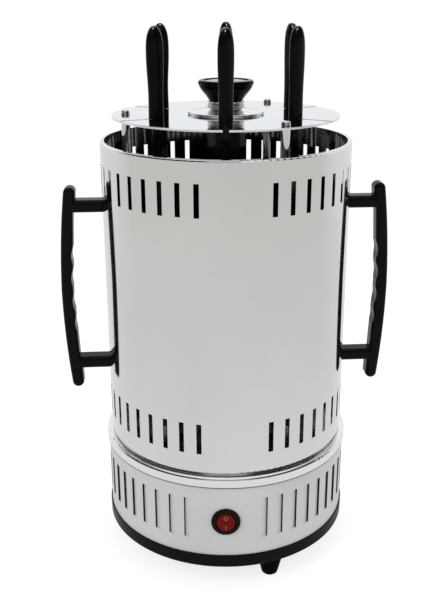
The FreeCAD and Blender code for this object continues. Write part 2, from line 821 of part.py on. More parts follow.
def make_spindles():
    """Pinion, bearing shaft, collar and socket in one turned piece; one for each skewer."""
    body = new_body("spindle_blank")
    revolve(body, [
        ("0", "plate_under - spindle_foot"),
        ("spindle_radius", "plate_under - spindle_foot"),
        ("spindle_radius", "plate_top + rest_gap"),
        ("hub_radius", "plate_top + rest_gap"),
        ("hub_radius", "gear_top + hub_rise"),
        ("spindle_radius", "gear_top + hub_rise"),
        ("spindle_radius", "collar_under"),
        ("collar_radius", "collar_under"),
        ("collar_radius", "collar_top"),
        ("boss_radius", "collar_top"),
        ("boss_radius", "boss_top - edge_break"),
        ("boss_radius - edge_break", "boss_top"),
        ("0", "boss_top"),
    ])
    half_x = "(blade_width / 2 + socket_play_wide)"
    half_y = "(blade_sheet / 2 + socket_play_flat)"
    socket = sketch_on(body, "socket", "XY_Plane",
                       [rectangle(f"-{half_x}", half_x, f"-{half_y}", half_y)], lift="boss_top")
    extrude(body, socket, "socket_cut", "socket_depth", cut=True)

    wheel = gear_face(PINION_TEETH, size("spindle_radius")).extrude(UP * size("gear_width"))
    wheel.translate(UP * size("gear_bottom"))
    pinion = doc.addObject("Part::Feature", "pinion_teeth_ring")
    pinion.Shape = wheel
    # a gap faces the drive gear, which lies behind a pinion that stands at the front
    gap_turn = 180 / PINION_TEETH if PINION_TEETH % 2 == 0 else 0
    pinion.Placement.Rotation = FreeCAD.Rotation(UP, gap_turn)
    spindle = doc.addObject("Part::MultiFuse", "spindle_master")
    spindle.Shapes = [body, pinion]
    doc.recompute()
    return spindle


def spindle_spin(index):
    """Turn of a spindle that keeps its teeth in mesh, plus whole teeth at rest."""
    mesh = 360 / SKEWERS * index * DRIVE_TEETH / PINION_TEETH
    return f"({mesh + REST_TEETH[index] * 360 / PINION_TEETH:g})"


def make_bushes():
    """Flanged bushes that guide the spindles in the deck."""
    body = new_body("bush")
    bore = "spindle_radius + running_gap"
    revolve(body, [
        (bore, "bush_top - bush_length"),
        ("bush_radius", "bush_top - bush_length"),
        ("bush_radius", "plateau"),
        ("bush_flange_radius", "plateau"),
        ("bush_flange_radius", "bush_top"),
        (bore, "bush_top"),
    ])
    ring_of(body, "spindle_bushes", "skewer_circle", "carousel_turn", SKEWERS)


def make_cup():
    """Pressed drip cup with a neck round the spindle's boss."""
    body = new_body("cup")
    neck = "boss_radius + rest_gap"
    revolve(body, [
        (neck, "cup_under"),
        ("cup_foot_radius", "cup_under"),
        ("cup_radius", "cup_top"),
        ("cup_radius - cup_sheet", "cup_top"),
        ("cup_foot_radius - cup_sheet", "cup_under + cup_sheet"),
        (f"{neck} + cup_sheet", "cup_under + cup_sheet"),
        (f"{neck} + cup_sheet", "cup_under + cup_neck_height"),
        (neck, "cup_under + cup_neck_height"),
    ])
    return body


# ---------------------------------------------------------------- skewers
def make_blade():
    """Flat skewer blade with a chisel tip, a round journal and a tang for the grip."""
    body = new_body("blade")
    half, tip, tang = "blade_width / 2", "blade_tip_width / 2", "tang_width / 2"
    outline = [
        (f"-{tip}", "blade_bottom"),
        (tip, "blade_bottom"),
        (half, "blade_bottom + blade_taper"),
        (half, "disc_top - blade_shoulder"),
        (tang, "disc_top - blade_shoulder"),
        (tang, "grip_bottom + tang_length"),
        (f"-{tang}", "grip_bottom + tang_length"),
        (f"-{tang}", "disc_top - blade_shoulder"),
        (f"-{half}", "disc_top - blade_shoulder"),
        (f"-{half}", "blade_bottom + blade_taper"),
    ]
    strip = sketch_on(body, "strip", "XZ_Plane", [outline])
    extrude(body, strip, "strip_pad", "blade_sheet", both_ways=True)
    revolve(body, rectangle("0", "journal_radius", "journal_bottom", "grip_bottom"), "journal")
    return body


def make_grip():
    """Leaf-shaped handle of a skewer: a turned ogive pressed flat, with a slot for the tang."""
    body = new_body("leaf")
    foot, full, tip = "grip_foot_width / 2", "(grip_width / 2)", "(grip_tip_width / 2)"
    edge = "grip_foot_edge"
    waist = "(grip_length * grip_belly)"
    swell = f"({full} - {foot})"
    rise = f"({waist} - {edge})"
    # the upper flank is an arc that runs tangent into the small arc of the nose
    nose_middle = f"(grip_length - sqrt(grip_nose * grip_nose - {tip} * {tip}))"
    drop = f"({nose_middle} - {waist})"
    flank = f"(({full} * {full} + {drop} * {drop} - grip_nose * grip_nose) / (2 * ({full} - grip_nose)))"
    share = f"(grip_nose / ({flank} - grip_nose))"
    revolve(body, [
        ("0", "grip_bottom"),
        (f"{foot} - {edge}", "grip_bottom"),
        (foot, f"grip_bottom + {edge}", f"({rise} * {rise} + {swell} * {swell}) / (2 * {swell})", 1),
        (full, f"grip_bottom + {waist}", flank, 1),
        (f"{share} * ({flank} - {full})", f"grip_bottom + {nose_middle} + {share} * {drop}",
         "grip_nose", 1),
        (tip, "grip_bottom + grip_length"),
        ("0", "grip_bottom + grip_length"),
    ])
    press = FreeCAD.Matrix()
    press.scale(1, size("grip_depth / grip_width"), 1)
    leaf = doc.addObject("Part::Feature", "flat_leaf")
    leaf.Shape = body.Shape.transformGeometry(press)

    slot = doc.addObject("Part::Box", "tang_slot")
    bind(slot, "Length", "tang_width + 2 * sheet_gap")
    bind(slot, "Width", "blade_sheet + 2 * sheet_gap")
    bind(slot, "Height", "tang_length + 2 * overshoot")
    bind(slot, ".Placement.Base.x", "0 - tang_width / 2 - sheet_gap")
    bind(slot, ".Placement.Base.y", "0 - blade_sheet / 2 - sheet_gap")
    bind(slot, ".Placement.Base.z", "grip_bottom - overshoot")
    grip = doc.addObject("Part::Cut", "grip_master")
    grip.Base, grip.Tool = leaf, slot
    doc.recompute()
    return grip


def make_skewer_stations():
    """Six stations round the heater: spindle, cup, blade and grip on one axis each."""
    masters = (("spindle", make_spindles()), ("drip_cup", make_cup()),
               ("skewer_blade", make_blade()), ("skewer_handle", make_grip()))
    for index in range(SKEWERS):
        for word, master in masters:
            label = f"{word}_{index + 1}"
            copy = copy_on_circle(master, label + "_copy", "skewer_circle",
                                  skewer_azimuth(index), spindle_spin(index))
            publish(copy, label)


# ---------------------------------------------------------------- heater
def make_heater():
    """Upright heater: ceramic base, core with a wound coil, quartz tube and cap."""
    tube_bore, core_bore = "tube_radius + sheet_gap", "core_radius"
    body = new_body("heater_foot")
    revolve(body, [
        ("0", "plateau - heater_stem"),
        ("heater_socket_radius", "plateau - heater_stem"),
        ("heater_socket_radius", "plateau"),
        ("heater_flange_radius", "plateau"),
        ("heater_flange_radius", "heater_seat - edge_break"),
        ("heater_flange_radius - edge_break", "heater_seat"),
        ("heater_socket_radius", "heater_seat"),
        ("heater_socket_radius - edge_break", "heater_seat + heater_socket_height"),
        (tube_bore, "heater_seat + heater_socket_height"),
        (tube_bore, "heater_seat"),
        (core_bore, "heater_seat"),
        (core_bore, "plateau"),
        ("0", "plateau"),
    ])
    publish(body, "heater_base")

    core = doc.addObject("Part::Cylinder", "core_rod")
    bind(core, "Radius", "core_radius")
    bind(core, "Height", "core_top - plateau")
    bind(core, ".Placement.Base.z", "plateau")
    publish(core, "ceramic_core")

    tube = new_body("tube")
    revolve(tube, rectangle("tube_radius - tube_wall", "tube_radius",
                            "heater_seat", "heater_tube_top"))
    publish(tube, "quartz_tube")

    cap = new_body("cap")
    revolve(cap, [
        ("tube_radius + sheet_gap", "heater_cap_bottom"),
        ("heater_cap_radius", "heater_cap_bottom"),
        ("heater_cap_radius", "heater_cap_bottom + heater_cap_height - heater_cap_edge"),
        ("heater_cap_radius - heater_cap_edge", "heater_cap_bottom + heater_cap_height"),
        ("0", "heater_cap_bottom + heater_cap_height"),
        ("0", "core_top"),
        ("core_radius", "core_top"),
        ("core_radius", "heater_tube_top"),
        ("tube_radius + sheet_gap", "heater_tube_top"),
    ])
    publish(cap, "heater_cap")
    make_coil()


def make_coil():
    """Resistance wire wound on the core."""
    wire, pitch = size("coil_wire_radius"), size("coil_pitch")
    radius = size("core_radius + sheet_gap + coil_wire_radius")
    low, high = size("heater_seat + coil_margin"), size("heater_cap_bottom - coil_margin")
    path = Part.makeHelix(pitch, high - low, radius)
    start = FreeCAD.Vector(radius, 0, 0)
    lean = math.atan2(pitch, 2 * math.pi * radius)
    along = FreeCAD.Vector(0, math.cos(lean), math.sin(lean))
    section = Part.Wire(Part.makeCircle(wire, start, along))
    coil = doc.addObject("Part::Feature", "wound_wire")
    coil.Shape = Part.Wire(path).makePipeShell([section], True, True)
    coil.Placement.Base = UP * low
    publish(coil, "heater_coil")


# ---------------------------------------------------------------- posts, disc and knob
def make_posts():
    """Posts that carry the top disc, their cap nuts above it and nuts under the deck."""
    post = new_body("post")
    revolve(post, [
        ("0", "deck_under - nut_height - edge_break"),
        ("stub_radius", "deck_under - nut_height - edge_break"),
        ("stub_radius", "plateau"),
        ("post_radius", "plateau"),
        ("post_radius", "disc_under"),
        ("stub_radius", "disc_under"),
        ("stub_radius", "disc_top + cap_nut_height - cap_nut_crown"),
        ("0", "disc_top + cap_nut_height - cap_nut_crown"),
    ])
    ring_of(post, "posts", "post_circle", "post_turn", POSTS)

    cap = new_body("cap_nut")
    revolve(cap, [
        ("stub_radius", "disc_top"),
        ("cap_nut_radius", "disc_top"),
        ("cap_nut_radius", "disc_top + cap_nut_side", "cap_nut_dome", 1),
        ("cap_nut_tip", "disc_top + cap_nut_height"),
        ("0", "disc_top + cap_nut_height"),
        ("0", "disc_top + cap_nut_height - cap_nut_crown"),
        ("stub_radius", "disc_top + cap_nut_height - cap_nut_crown"),
    ])
    ring_of(cap, "post_nuts", "post_circle", "post_turn", POSTS)

    nut = doc.addObject("Part::Prism", "hex_nut")
    nut.Polygon = 6
    bind(nut, "Circumradius", "nut_radius")
    bind(nut, "Height", "nut_height")
    bind(nut, ".Placement.Base.z", "deck_under - nut_height")
    bore = doc.addObject("Part::Cylinder", "hex_nut_bore")
    bind(bore, "Radius", "stub_radius")
    bind(bore, "Height", "nut_height + 2 * overshoot")
    bind(bore, ".Placement.Base.z", "deck_under - nut_height - overshoot")
    threaded = doc.addObject("Part::Cut", "threaded_nut")
    threaded.Base, threaded.Tool = nut, bore
    ring_of(threaded, "lower_nuts", "post_circle", "post_turn", POSTS)


def make_disc():
    """Top disc with a turned-down lip; each skewer stands in a seat with a slot to the rim."""
    body = new_body("disc")
    revolve(body, [
        ("0", "disc_under"),
        ("disc_radius - disc_sheet", "disc_under"),
        ("disc_radius - disc_sheet", "disc_top - disc_lip"),
        ("disc_radius", "disc_top - disc_lip"),
        ("disc_radius", "disc_top - disc_edge"),
        ("disc_radius - disc_edge", "disc_top"),
        ("0", "disc_top"),
    ])
    half = "disc_slot_width / 2"
    slot = rectangle(f"-{half}", half, "-disc_radius - overshoot", "-skewer_circle")
    opening = sketch_on(body, "slot", "XY_Plane", [slot], lift="disc_top + overshoot", turn="carousel_turn")
    cut = extrude(body, opening, "slot_cut", "disc_lip + 2 * overshoot", cut=True)
    repeat(body, cut, "slots", SKEWERS)
    holes = (("seat", "skewer_circle", "carousel_turn", "seat_radius", SKEWERS),
             ("post_hole", "post_circle", "post_turn", "stub_radius", POSTS),
             ("stud_hole", "0", "0", "stud_radius", 1))
    for name, circle, azimuth, radius, count in holes:
        hole = sketch_on(body, name, "XY_Plane", lift="disc_top + overshoot",
                         circles=[on_circle(circle, azimuth, radius)])
        cut = extrude(body, hole, name + "_cut", "disc_sheet + 2 * overshoot", cut=True)
        if count > 1:
            repeat(body, cut, name + "s", count)
    publish(body, "top_disc")


def make_knob():
    """Knob on the disc: domed flange, round neck, washer, bowl with an inset lid, and stud."""
    crown = "(insert_radius * insert_radius + insert_crown * insert_crown) / (2 * insert_crown)"
    pieces = {
        "knob_flange": [
            ("stud_radius", "disc_top"),
            ("knob_flange_radius", "disc_top"),
            ("knob_flange_radius", "disc_top + knob_flange_side", "knob_flange_dome", 1),
            ("knob_neck_foot", "neck_bottom"),
            ("stud_radius", "neck_bottom"),
        ],
        "knob_neck": [
            ("stud_radius", "neck_bottom"),
            ("knob_neck_foot", "neck_bottom", "knob_neck_bulge", 1),
            ("knob_neck_top", "washer_bottom"),
            ("stud_radius", "washer_bottom"),
        ],
        "knob_washer": rectangle("stud_radius", "knob_washer_radius", "washer_bottom",
                                  "knob_bottom"),
        "knob": [
            ("stud_radius", "knob_bottom"),
            ("knob_foot_radius", "knob_bottom", "knob_bowl", 1),
            ("knob_radius - knob_rim_step", "knob_top - knob_rim_height"),
            ("knob_radius", "knob_top - knob_rim_height + knob_rim_step"),
            ("knob_radius", "knob_top - knob_edge", "knob_edge", 1),
            ("knob_radius - knob_edge", "knob_top"),
            ("insert_radius", "knob_top"),
            ("insert_radius", "insert_bottom"),
            ("stud_radius", "insert_bottom"),
        ],
        "knob_insert": [
            ("0", "insert_bottom"),
            ("insert_radius", "insert_bottom"),
            ("insert_radius", "insert_bottom + insert_sheet - insert_crown", crown, 1),
            ("0", "insert_bottom + insert_sheet"),
        ],
    }
    for label, outline in pieces.items():
        body = new_body(label + "_turned")
        revolve(body, outline)
        publish(body, label)

    stud = new_body("stud")
    revolve(stud, [
        ("0", "disc_under - stud_nut_height - edge_break"),
        ("stud_radius", "disc_under - stud_nut_height - edge_break"),
        ("stud_radius", "disc_under - stud_nut_height"),
        ("stud_nut_radius", "disc_under - stud_nut_height"),
        ("stud_nut_radius", "disc_under"),
        ("stud_radius", "disc_under"),
        ("stud_radius", "insert_bottom"),
        ("0", "insert_bottom"),
    ])
    publish(stud, "knob_stud")


# ---------------------------------------------------------------- casing and handles
def make_casing():
    """Polished sheet cylinder, flanged inwards at both ends, with two rows of air slots."""
    body = new_body("casing_shell")
    lip = "casing_radius - casing_flange"
    inner_corner = "casing_corner - casing_sheet"
    shoulder = "casing_radius - casing_corner"
    revolve(body, [
        (lip, "casing_bottom"),
        (shoulder, "casing_bottom", "casing_corner", 1),
        ("casing_radius", "casing_bottom + casing_corner"),
        ("casing_radius", "casing_top - casing_corner", "casing_corner", 1),
        (shoulder, "casing_top"),
        (lip, "casing_top"),
        (lip, "casing_top - casing_sheet"),
        (shoulder, "casing_top - casing_sheet", inner_corner, -1),
        ("casing_inner", "casing_top - casing_corner"),
        ("casing_inner", "casing_bottom + casing_corner", inner_corner, -1),
        (shoulder, "casing_bottom + casing_sheet"),
        (lip, "casing_bottom + casing_sheet"),
    ])
    half = "slot_width / 2"
    rows = [rectangle(f"-{half}", half, "upper_slot_bottom", "upper_slot_top"),
            rectangle(f"-{half}", half, "lower_slot_bottom", "lower_slot_top")]
    count = SLOT_DIVISIONS // 2 - BLANK_DIVISIONS
    slots = sketch_on(body, "slots", "XZ_Plane", rows, turn=f"2 * 360 / {SLOT_DIVISIONS}")
    cut = extrude(body, slots, "slot_cut", None, cut=True, both_ways=True)
    repeat(body, cut, "slot_rows", count, f"{count - 1} * 360 / {SLOT_DIVISIONS}")
    holes = sketch_on(body, "handle_holes", "YZ_Plane",
                      circles=[("0", "upper_bracket", "screw_radius + sheet_gap"),
                               ("0", "lower_bracket", "screw_radius + sheet_gap")])
    extrude(body, holes, "handle_hole_cut", None, cut=True, both_ways=True)
    bind(body, ".Placement.Rotation.Angle", "casing_turn")
    publish(body, "casing")


def handle_outline():
    """Side view of a handle: a bowed grip on two brackets, as (radius, height) corners."""
    outer = "(casing_radius + handle_reach)"
    inner = "(casing_radius + handle_reach - handle_thickness)"
    half = "bracket_thickness / 2"
    middle = "(handle_bottom + handle_length / 2)"
    bow = "(handle_length * handle_length / (8 * handle_bow))"
    cap = "(handle_thickness * handle_thickness / 4 + handle_end * handle_end) / (2 * handle_end)"
    return [
        ("casing_radius", f"lower_bracket - {half}"),
        (f"{inner} - low_under_lean", f"lower_bracket - {half}"),
        (f"{inner} - low_end_lean", "handle_bottom + handle_end", cap, 1),
        (f"{outer} - low_end_lean", "handle_bottom + handle_end", bow, 1),
        (outer, middle, bow, 1),
        (f"{outer} - high_end_lean", "handle_top - handle_end", cap, 1),
        (f"{inner} - high_end_lean", "handle_top - handle_end"),
        (f"{inner} - high_over_lean", f"upper_bracket + {half}"),
        ("casing_radius", f"upper_bracket + {half}"),
        ("casing_radius", f"upper_bracket - {half}"),
        (f"{inner} - high_inside_lean", f"upper_bracket - {half}"),
        (inner, middle),
        (f"{inner} - low_inside_lean", f"lower_bracket + {half}"),
        ("casing_radius", f"lower_bracket + {half}"),
    ]


def make_handles():
    """Moulded heat-proof handles: rounded C shape with finger grooves, one on each side."""
    body = new_body("handle")
    profile = sketch_on(body, "side_view", "XZ_Plane", [handle_outline()])
    pad = extrude(body, profile, "bar", "handle_width", both_ways=True)
    wall = size("casing_radius")

    def rounded(edge):
        flat = abs(abs(edge.BoundBox.YMin) - size("handle_width / 2")) < 1e-6
        return flat and edge.BoundBox.YLength < 1e-6 and edge.BoundBox.XMax > wall + 1e-3

    round_edges(body, pad, "rounding", "handle_round", rounded)
    face = "casing_radius + handle_reach - handle_thickness"
    middle = "handle_bottom + handle_length / 2"
    slope = f"high_inside_lean / (upper_bracket - bracket_thickness / 2 - ({middle}))"
    for i in range(GROOVES):
        step = i - (GROOVES - 1) / 2
        depth = f"groove_depth - {abs(step):g} * groove_pitch * {slope}"
        centre = (f"{face} + {depth} - groove_radius", f"{middle} + groove_pitch * {step:g}")
        sketch = sketch_on(body, f"groove_{i}", "XZ_Plane", circles=[(*centre, "groove_radius")])
        extrude(body, sketch, f"groove_cut_{i}", None, cut=True, both_ways=True)
    hole = sketch_on(body, "screw_holes", "YZ_Plane", lift="casing_radius - overshoot",
                     circles=[("0", "upper_bracket", "screw_radius"),
                              ("0", "lower_bracket", "screw_radius")])
    extrude(body, hole, "screw_hole_cut", "handle_screw_depth + overshoot + blind_gap",
            cut=True, backwards=True)
    for label, half_turn in (("handle_right", 0), ("handle_left", 180)):
        copy = doc.addObject("Part::Compound", label + "_copy")
        copy.Links = [body]
        bind(copy, ".Placement.Rotation.Angle", f"casing_turn + {half_turn}")
        publish(copy, label)
    make_handle_screws()


def make_handle_screws():
    """Pan head screws from inside the casing into the handles' brackets."""
    screw = new_body("handle_screw")
    tip = "casing_radius + handle_screw_depth"
    head = "casing_inner - screw_head_height"
    revolve(screw, [
        ("0", head),
        ("screw_radius", head),
        ("screw_head_radius", "casing_inner - screw_head_height / 2"),
        ("screw_head_radius", "casing_inner - sheet_gap"),
        ("screw_radius", "casing_inner - sheet_gap"),
        ("screw_radius", tip),
        ("0", tip),
    ])
    screws = []
    for height in ("upper_bracket", "lower_bracket"):
        for half_turn in (0, 180):
            copy = doc.addObject("Part::Compound", f"screw_{height}_{half_turn}")
            copy.Links = [screw]
            level = FreeCAD.Rotation(FreeCAD.Vector(0, 1, 0), 90)
            copy.Placement = FreeCAD.Placement(FreeCAD.Vector(), level)
            lifted = doc.addObject("Part::Compound", f"set_{height}_{half_turn}")
            lifted.Links = [copy]
            bind(lifted, ".Placement.Base.z", height)
            bind(lifted, ".Placement.Rotation.Angle", f"casing_turn + {half_turn}")
            screws.append(lifted)
    group = doc.addObject("Part::Compound", "handle_screw_group")
    group.Links = screws
    publish(group, "handle_screws")


# ---------------------------------------------------------------- switch and gland
def face_outwards(item, angle, x_axis, height, reach):
    """Stand a piece made along +Z on the skirt, with its axis pointing out."""
    item.Placement = FreeCAD.Placement(FreeCAD.Vector(), FreeCAD.Rotation(x_axis, angle))
    bind(item, ".Placement.Base.y", reach)
    bind(item, ".Placement.Base.z", height)


def make_switch():
    """Round rocker switch: bezel and body in the skirt, and the rocker on its two pins."""
    across = FreeCAD.Vector(1, 0, 0)
    body = new_body("switch_shell")
    back = "(0 - switch_body_length)"
    revolve(body, [
        ("0", back),
        ("switch_body_radius - edge_break", back),
        ("switch_body_radius", f"{back} + edge_break"),
        ("switch_body_radius", "0"),
        ("bezel_radius", "0"),
        ("bezel_radius", "bezel_height - bezel_edge", "bezel_edge", 1),
        ("bezel_radius - bezel_edge", "bezel_height"),
        ("switch_bore + switch_bore_edge", "bezel_height"),
        ("switch_bore", "bezel_height - switch_bore_edge"),
        ("switch_bore", "bezel_height - switch_bore_depth"),
        ("0", "bezel_height - switch_bore_depth"),
    ])
    pin = sketch_on(body, "pin_bore", "YZ_Plane",
                    circles=[("0", "bezel_height - rocker_sink", "rocker_pin_radius + running_gap")])
    extrude(body, pin, "pin_bore_cut", "2 * (rocker_pin_reach + rest_gap)", cut=True, both_ways=True)
    for i, side in enumerate((-1, 1)):
        middle = f"{side} * terminal_spacing / 2"
        plan = rectangle(f"{middle} - terminal_sheet / 2", f"{middle} + terminal_sheet / 2",
                         "-terminal_width / 2", "terminal_width / 2")
        blade = sketch_on(body, f"terminal_{i}", "XY_Plane", [plan], lift=back)
        extrude(body, blade, f"terminal_pad_{i}", "terminal_length", backwards=True)
    face_outwards(body, 90, across, "switch_height", "-skirt_radius")
    publish(body, "switch_body")


def make_rocker():
    """Rocker with a shallow V face on two pins; at rest its upper end is pressed in."""
    across = FreeCAD.Vector(1, 0, 0)
    ball = doc.addObject("Part::Sphere", "rocker_ball")
    bind(ball, "Radius", "rocker_radius")
    wedge = new_body("rocker_wedge")
    reach = "(rocker_radius + overshoot)"
    rise = f"({reach} * tan(rocker_angle))"
    profile = sketch_on(wedge, "faces", "YZ_Plane", [[
        (f"0 - {reach}", "0 - rocker_depth"),
        (reach, "0 - rocker_depth"),
        (reach, f"rocker_face + {rise}"),
        ("0", "rocker_face"),
        (f"0 - {reach}", f"rocker_face + {rise}"),
    ]])
    extrude(wedge, profile, "faces_pad", f"2 * {reach}", both_ways=True)
    paddle = doc.addObject("Part::Common", "rocker_paddle")
    paddle.Base, paddle.Tool = ball, wedge
    pins = doc.addObject("Part::Cylinder", "rocker_pins")
    bind(pins, "Radius", "rocker_pin_radius")
    bind(pins, "Height", "2 * rocker_pin_reach")
    pins.Placement.Rotation = FreeCAD.Rotation(FreeCAD.Vector(0, 1, 0), 90)
    bind(pins, ".Placement.Base.x", "0 - rocker_pin_reach")
    whole = doc.addObject("Part::Fuse", "rocker_on_pins")
    whole.Base, whole.Tool = paddle, pins
    rocker = doc.addObject("Part::Compound", "rocker_in_place")
    rocker.Links = [whole]
    face_outwards(rocker, 90, across, "switch_height",
                  "0 - skirt_radius - bezel_height + rocker_sink")
    bind(rocker, ".Placement.Rotation.Angle", "90 - rocker_angle")
    publish(rocker, "rocker")


def make_gland():
    """Moulded inlet for the cord in the back of the skirt, with its nut inside."""
    body = new_body("gland")
    revolve(body, [
        ("cord_bore_radius", "0 - gland_length"),
        ("gland_body_radius", "0 - gland_length"),
        ("gland_body_radius", "0"),
        ("gland_flange_radius", "0"),
        ("gland_flange_radius", "gland_flange - edge_break"),
        ("gland_flange_radius - edge_break", "gland_flange"),
        ("cord_bore_radius", "gland_flange"),
    ])
    face_outwards(body, -90, FreeCAD.Vector(1, 0, 0), "gland_height", "skirt_radius")
    publish(body, "cord_gland")


# ---------------------------------------------------------------- build, check and write
def check_document():
    for item in doc.Objects:
        bad = [s for s in item.State if s in ("Invalid", "Error")]
        if bad:
            raise RuntimeError(f"{item.Name} is {bad}")
    for item in EXPORTS:
        if item.Shape.isNull() or not item.Shape.isValid() or not item.Shape.Solids:
            raise RuntimeError(f"{item.Label} has no sound shape")


def build():
    make_tray()
    make_feet()
    make_skirt()
    make_deck()
    make_tie_screws()
    make_sleeves()
    make_gear_plate()
    make_motor()
    make_drive_gear()
    make_bushes()
    make_skewer_stations()
    make_heater()
    make_posts()
    make_disc()
    make_knob()
    make_casing()
    make_handles()
    make_switch()
    make_rocker()
    make_gland()
    doc.recompute()
    check_document()


build()
os.makedirs("parts", exist_ok=True)
for part in EXPORTS:
    part.Shape.exportStep(f"parts/{part.Label}.step")
print(len(EXPORTS), "sub-parts written")
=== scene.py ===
import json
import math

import bpy
from mathutils import Euler, Matrix, Vector


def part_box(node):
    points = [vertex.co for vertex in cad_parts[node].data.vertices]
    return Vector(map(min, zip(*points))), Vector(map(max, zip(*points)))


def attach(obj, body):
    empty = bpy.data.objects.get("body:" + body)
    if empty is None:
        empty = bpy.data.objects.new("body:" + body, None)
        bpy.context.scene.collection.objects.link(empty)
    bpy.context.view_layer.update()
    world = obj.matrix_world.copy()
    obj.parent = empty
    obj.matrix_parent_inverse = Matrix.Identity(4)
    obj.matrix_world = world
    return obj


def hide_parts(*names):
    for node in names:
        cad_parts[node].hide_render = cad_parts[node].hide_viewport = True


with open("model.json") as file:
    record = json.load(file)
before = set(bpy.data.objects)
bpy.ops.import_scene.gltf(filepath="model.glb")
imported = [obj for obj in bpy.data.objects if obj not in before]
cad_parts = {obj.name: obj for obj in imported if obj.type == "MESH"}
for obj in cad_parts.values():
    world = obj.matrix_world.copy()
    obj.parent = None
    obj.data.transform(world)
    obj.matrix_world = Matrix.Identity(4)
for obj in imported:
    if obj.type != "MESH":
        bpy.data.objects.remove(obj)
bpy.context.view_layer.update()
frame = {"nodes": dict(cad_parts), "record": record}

NODES = frame["nodes"]
MM = 0.001


# ---------------------------------------------------------------- node helpers
class Graph:
    """Short names for building one material's or the world's nodes."""

    def __init__(self, owner):
        owner.use_nodes = True
        self.tree = owner.node_tree
        self.tree.nodes.clear()

    def node(self, kind, values=None, **settings):
        item = self.tree.nodes.new(kind)
        for key, value in settings.items():
            setattr(item, key, value)
        for key, value in (values or {}).items():
            self.feed(item.inputs[key], value)
        return item

    def feed(self, socket, value):
        if isinstance(value, bpy.types.NodeSocket):
            self.tree.links.new(value, socket)
        else:
            socket.default_value = value

    def math(self, operation, a, b=0.0):
        return self.node("ShaderNodeMath", {0: a, 1: b}, operation=operation).outputs[0]

    def scaled(self, vector, scale):
        item = self.node("ShaderNodeMapping", {"Vector": vector, "Scale": scale})
        return item.outputs["Vector"]

    def noise(self, vector, scale, detail=3.0, rough=0.5):
        item = self.node("ShaderNodeTexNoise", {
            "Vector": vector, "Scale": scale, "Detail": detail, "Roughness": rough})
        return item.outputs["Fac"]

    def upward(self, vector):
        """The part of a place or a normal that points up."""
        return self.node("ShaderNodeSeparateXYZ", {0: vector}).outputs[2]

    def from_axis(self, place):
        """Distance of a place from the grill's upright axis."""
        axis = self.node("ShaderNodeSeparateXYZ", {0: place})
        squares = [self.math("POWER", axis.outputs[i], 2.0) for i in (0, 1)]
        return self.math("SQRT", self.math("ADD", *squares))

    def facing_in(self, place, least=-0.3):
        """1 on faces that look towards the grill's upright axis, 0 on those that look away."""
        normal = self.node("ShaderNodeTexCoord").outputs["Normal"]
        flat = self.scaled(place, (1, 1, 0))
        away = self.node("ShaderNodeVectorMath", {0: flat}, operation="NORMALIZE").outputs[0]
        turn = self.node("ShaderNodeVectorMath", {0: away, 1: normal}, operation="DOT_PRODUCT")
        return self.ramp(turn.outputs["Value"], least - 0.1, least + 0.1, 1.0, 0.0)

    def ramp(self, value, low, high, out_low, out_high):
        item = self.node("ShaderNodeMapRange", {
            "Value": value, "From Min": low, "From Max": high,
            "To Min": out_low, "To Max": out_high})
        return item.outputs["Result"]

    def blend(self, factor, first, second):
        item = self.node("ShaderNodeMix", data_type="RGBA")
        self.feed(item.inputs[0], factor)
        self.feed(item.inputs[6], (*first, 1.0) if isinstance(first, tuple) else first)
        self.feed(item.inputs[7], (*second, 1.0) if isinstance(second, tuple) else second)
        return item.outputs[2]

    def bump(self, height, strength, distance):
        values = {"Height": height, "Strength": strength, "Distance": distance}
        return self.node("ShaderNodeBump", values).outputs["Normal"]


# black of a painted shade on metal
SHADE_BLACK = (0.012, 0.012, 0.013)
# colour of a painted shadow line on paint, how dark it gets and over what height it fades in
SEAM_SHADOW = (0.1, 0.1, 0.1)
SEAM_SHADOW_SHARE = 0.8
SEAM_FADE = 0.3 * MM
# how far a face may turn outwards and still get the painted shade inside
SHADED_BACK_TURN = 0.45
LINE_SHARE = 0.15
QUARTZ_IOR = 1.46


def new_material(name):
    """A material with one Principled shader, and the place on the part at rest in metres."""
    material = bpy.data.materials.new(name)
    graph = Graph(material)
    shader = graph.node("ShaderNodeBsdfPrincipled")
    out = graph.node("ShaderNodeOutputMaterial")
    graph.tree.links.new(shader.outputs[0], out.inputs["Surface"])
    place = graph.node("ShaderNodeTexCoord").outputs["Object"]
    return material, graph, shader, place


def polished(name, tint, rough, streaks=(6, 6, 900), clouds=(16, 16, 5), marks=0.02,
             grain=0.006, inner_shade=None, painted_shade=None):
    """Polished or satin metal: faint lines along the polishing and soft cloudy wipe marks.
    The colour for the faces turned inwards is a painted shade, dark where shade falls inside. The
    pair of
    heights blackens it with painted shade: the height at which it starts and the height at which
    it is black."""
    material, g, shader, place = new_material(name)
    lines = g.noise(g.scaled(place, streaks), 1.0, 4.0, 0.6)
    wipes = g.noise(g.scaled(place, clouds), 1.0, 4.0, 0.55)
    mixed = g.math("ADD", g.math("MULTIPLY", lines, LINE_SHARE),
                   g.math("MULTIPLY", wipes, 1 - LINE_SHARE))
    dark = tuple(c * (1 - 2 * marks) for c in tint)
    colour = g.blend(g.ramp(mixed, 0.35, 0.62, 0, 1), dark, tint)
    smear = g.math("MULTIPLY", g.ramp(wipes, 0.35, 0.7, 0.7, 1.4), rough)
    smear = g.math("ADD", smear, g.math("MULTIPLY", lines, grain))
    # painted shade: the faces turned inwards are darkened for the shade inside
    if inner_shade:
        colour = g.blend(g.facing_in(place), colour, inner_shade)
    # painted shade: black past a given height, for the shade under a rim or under the disc
    if painted_shade:
        colour = g.blend(g.ramp(g.upward(place), *painted_shade, 0.0, 1.0), colour, SHADE_BLACK)
    g.feed(shader.inputs["Base Color"], colour)
    g.feed(shader.inputs["Roughness"], smear)
    g.feed(shader.inputs["Normal"], g.bump(lines, grain, 0.02 * MM))
    shader.inputs["Metallic"].default_value = 1.0
    return material


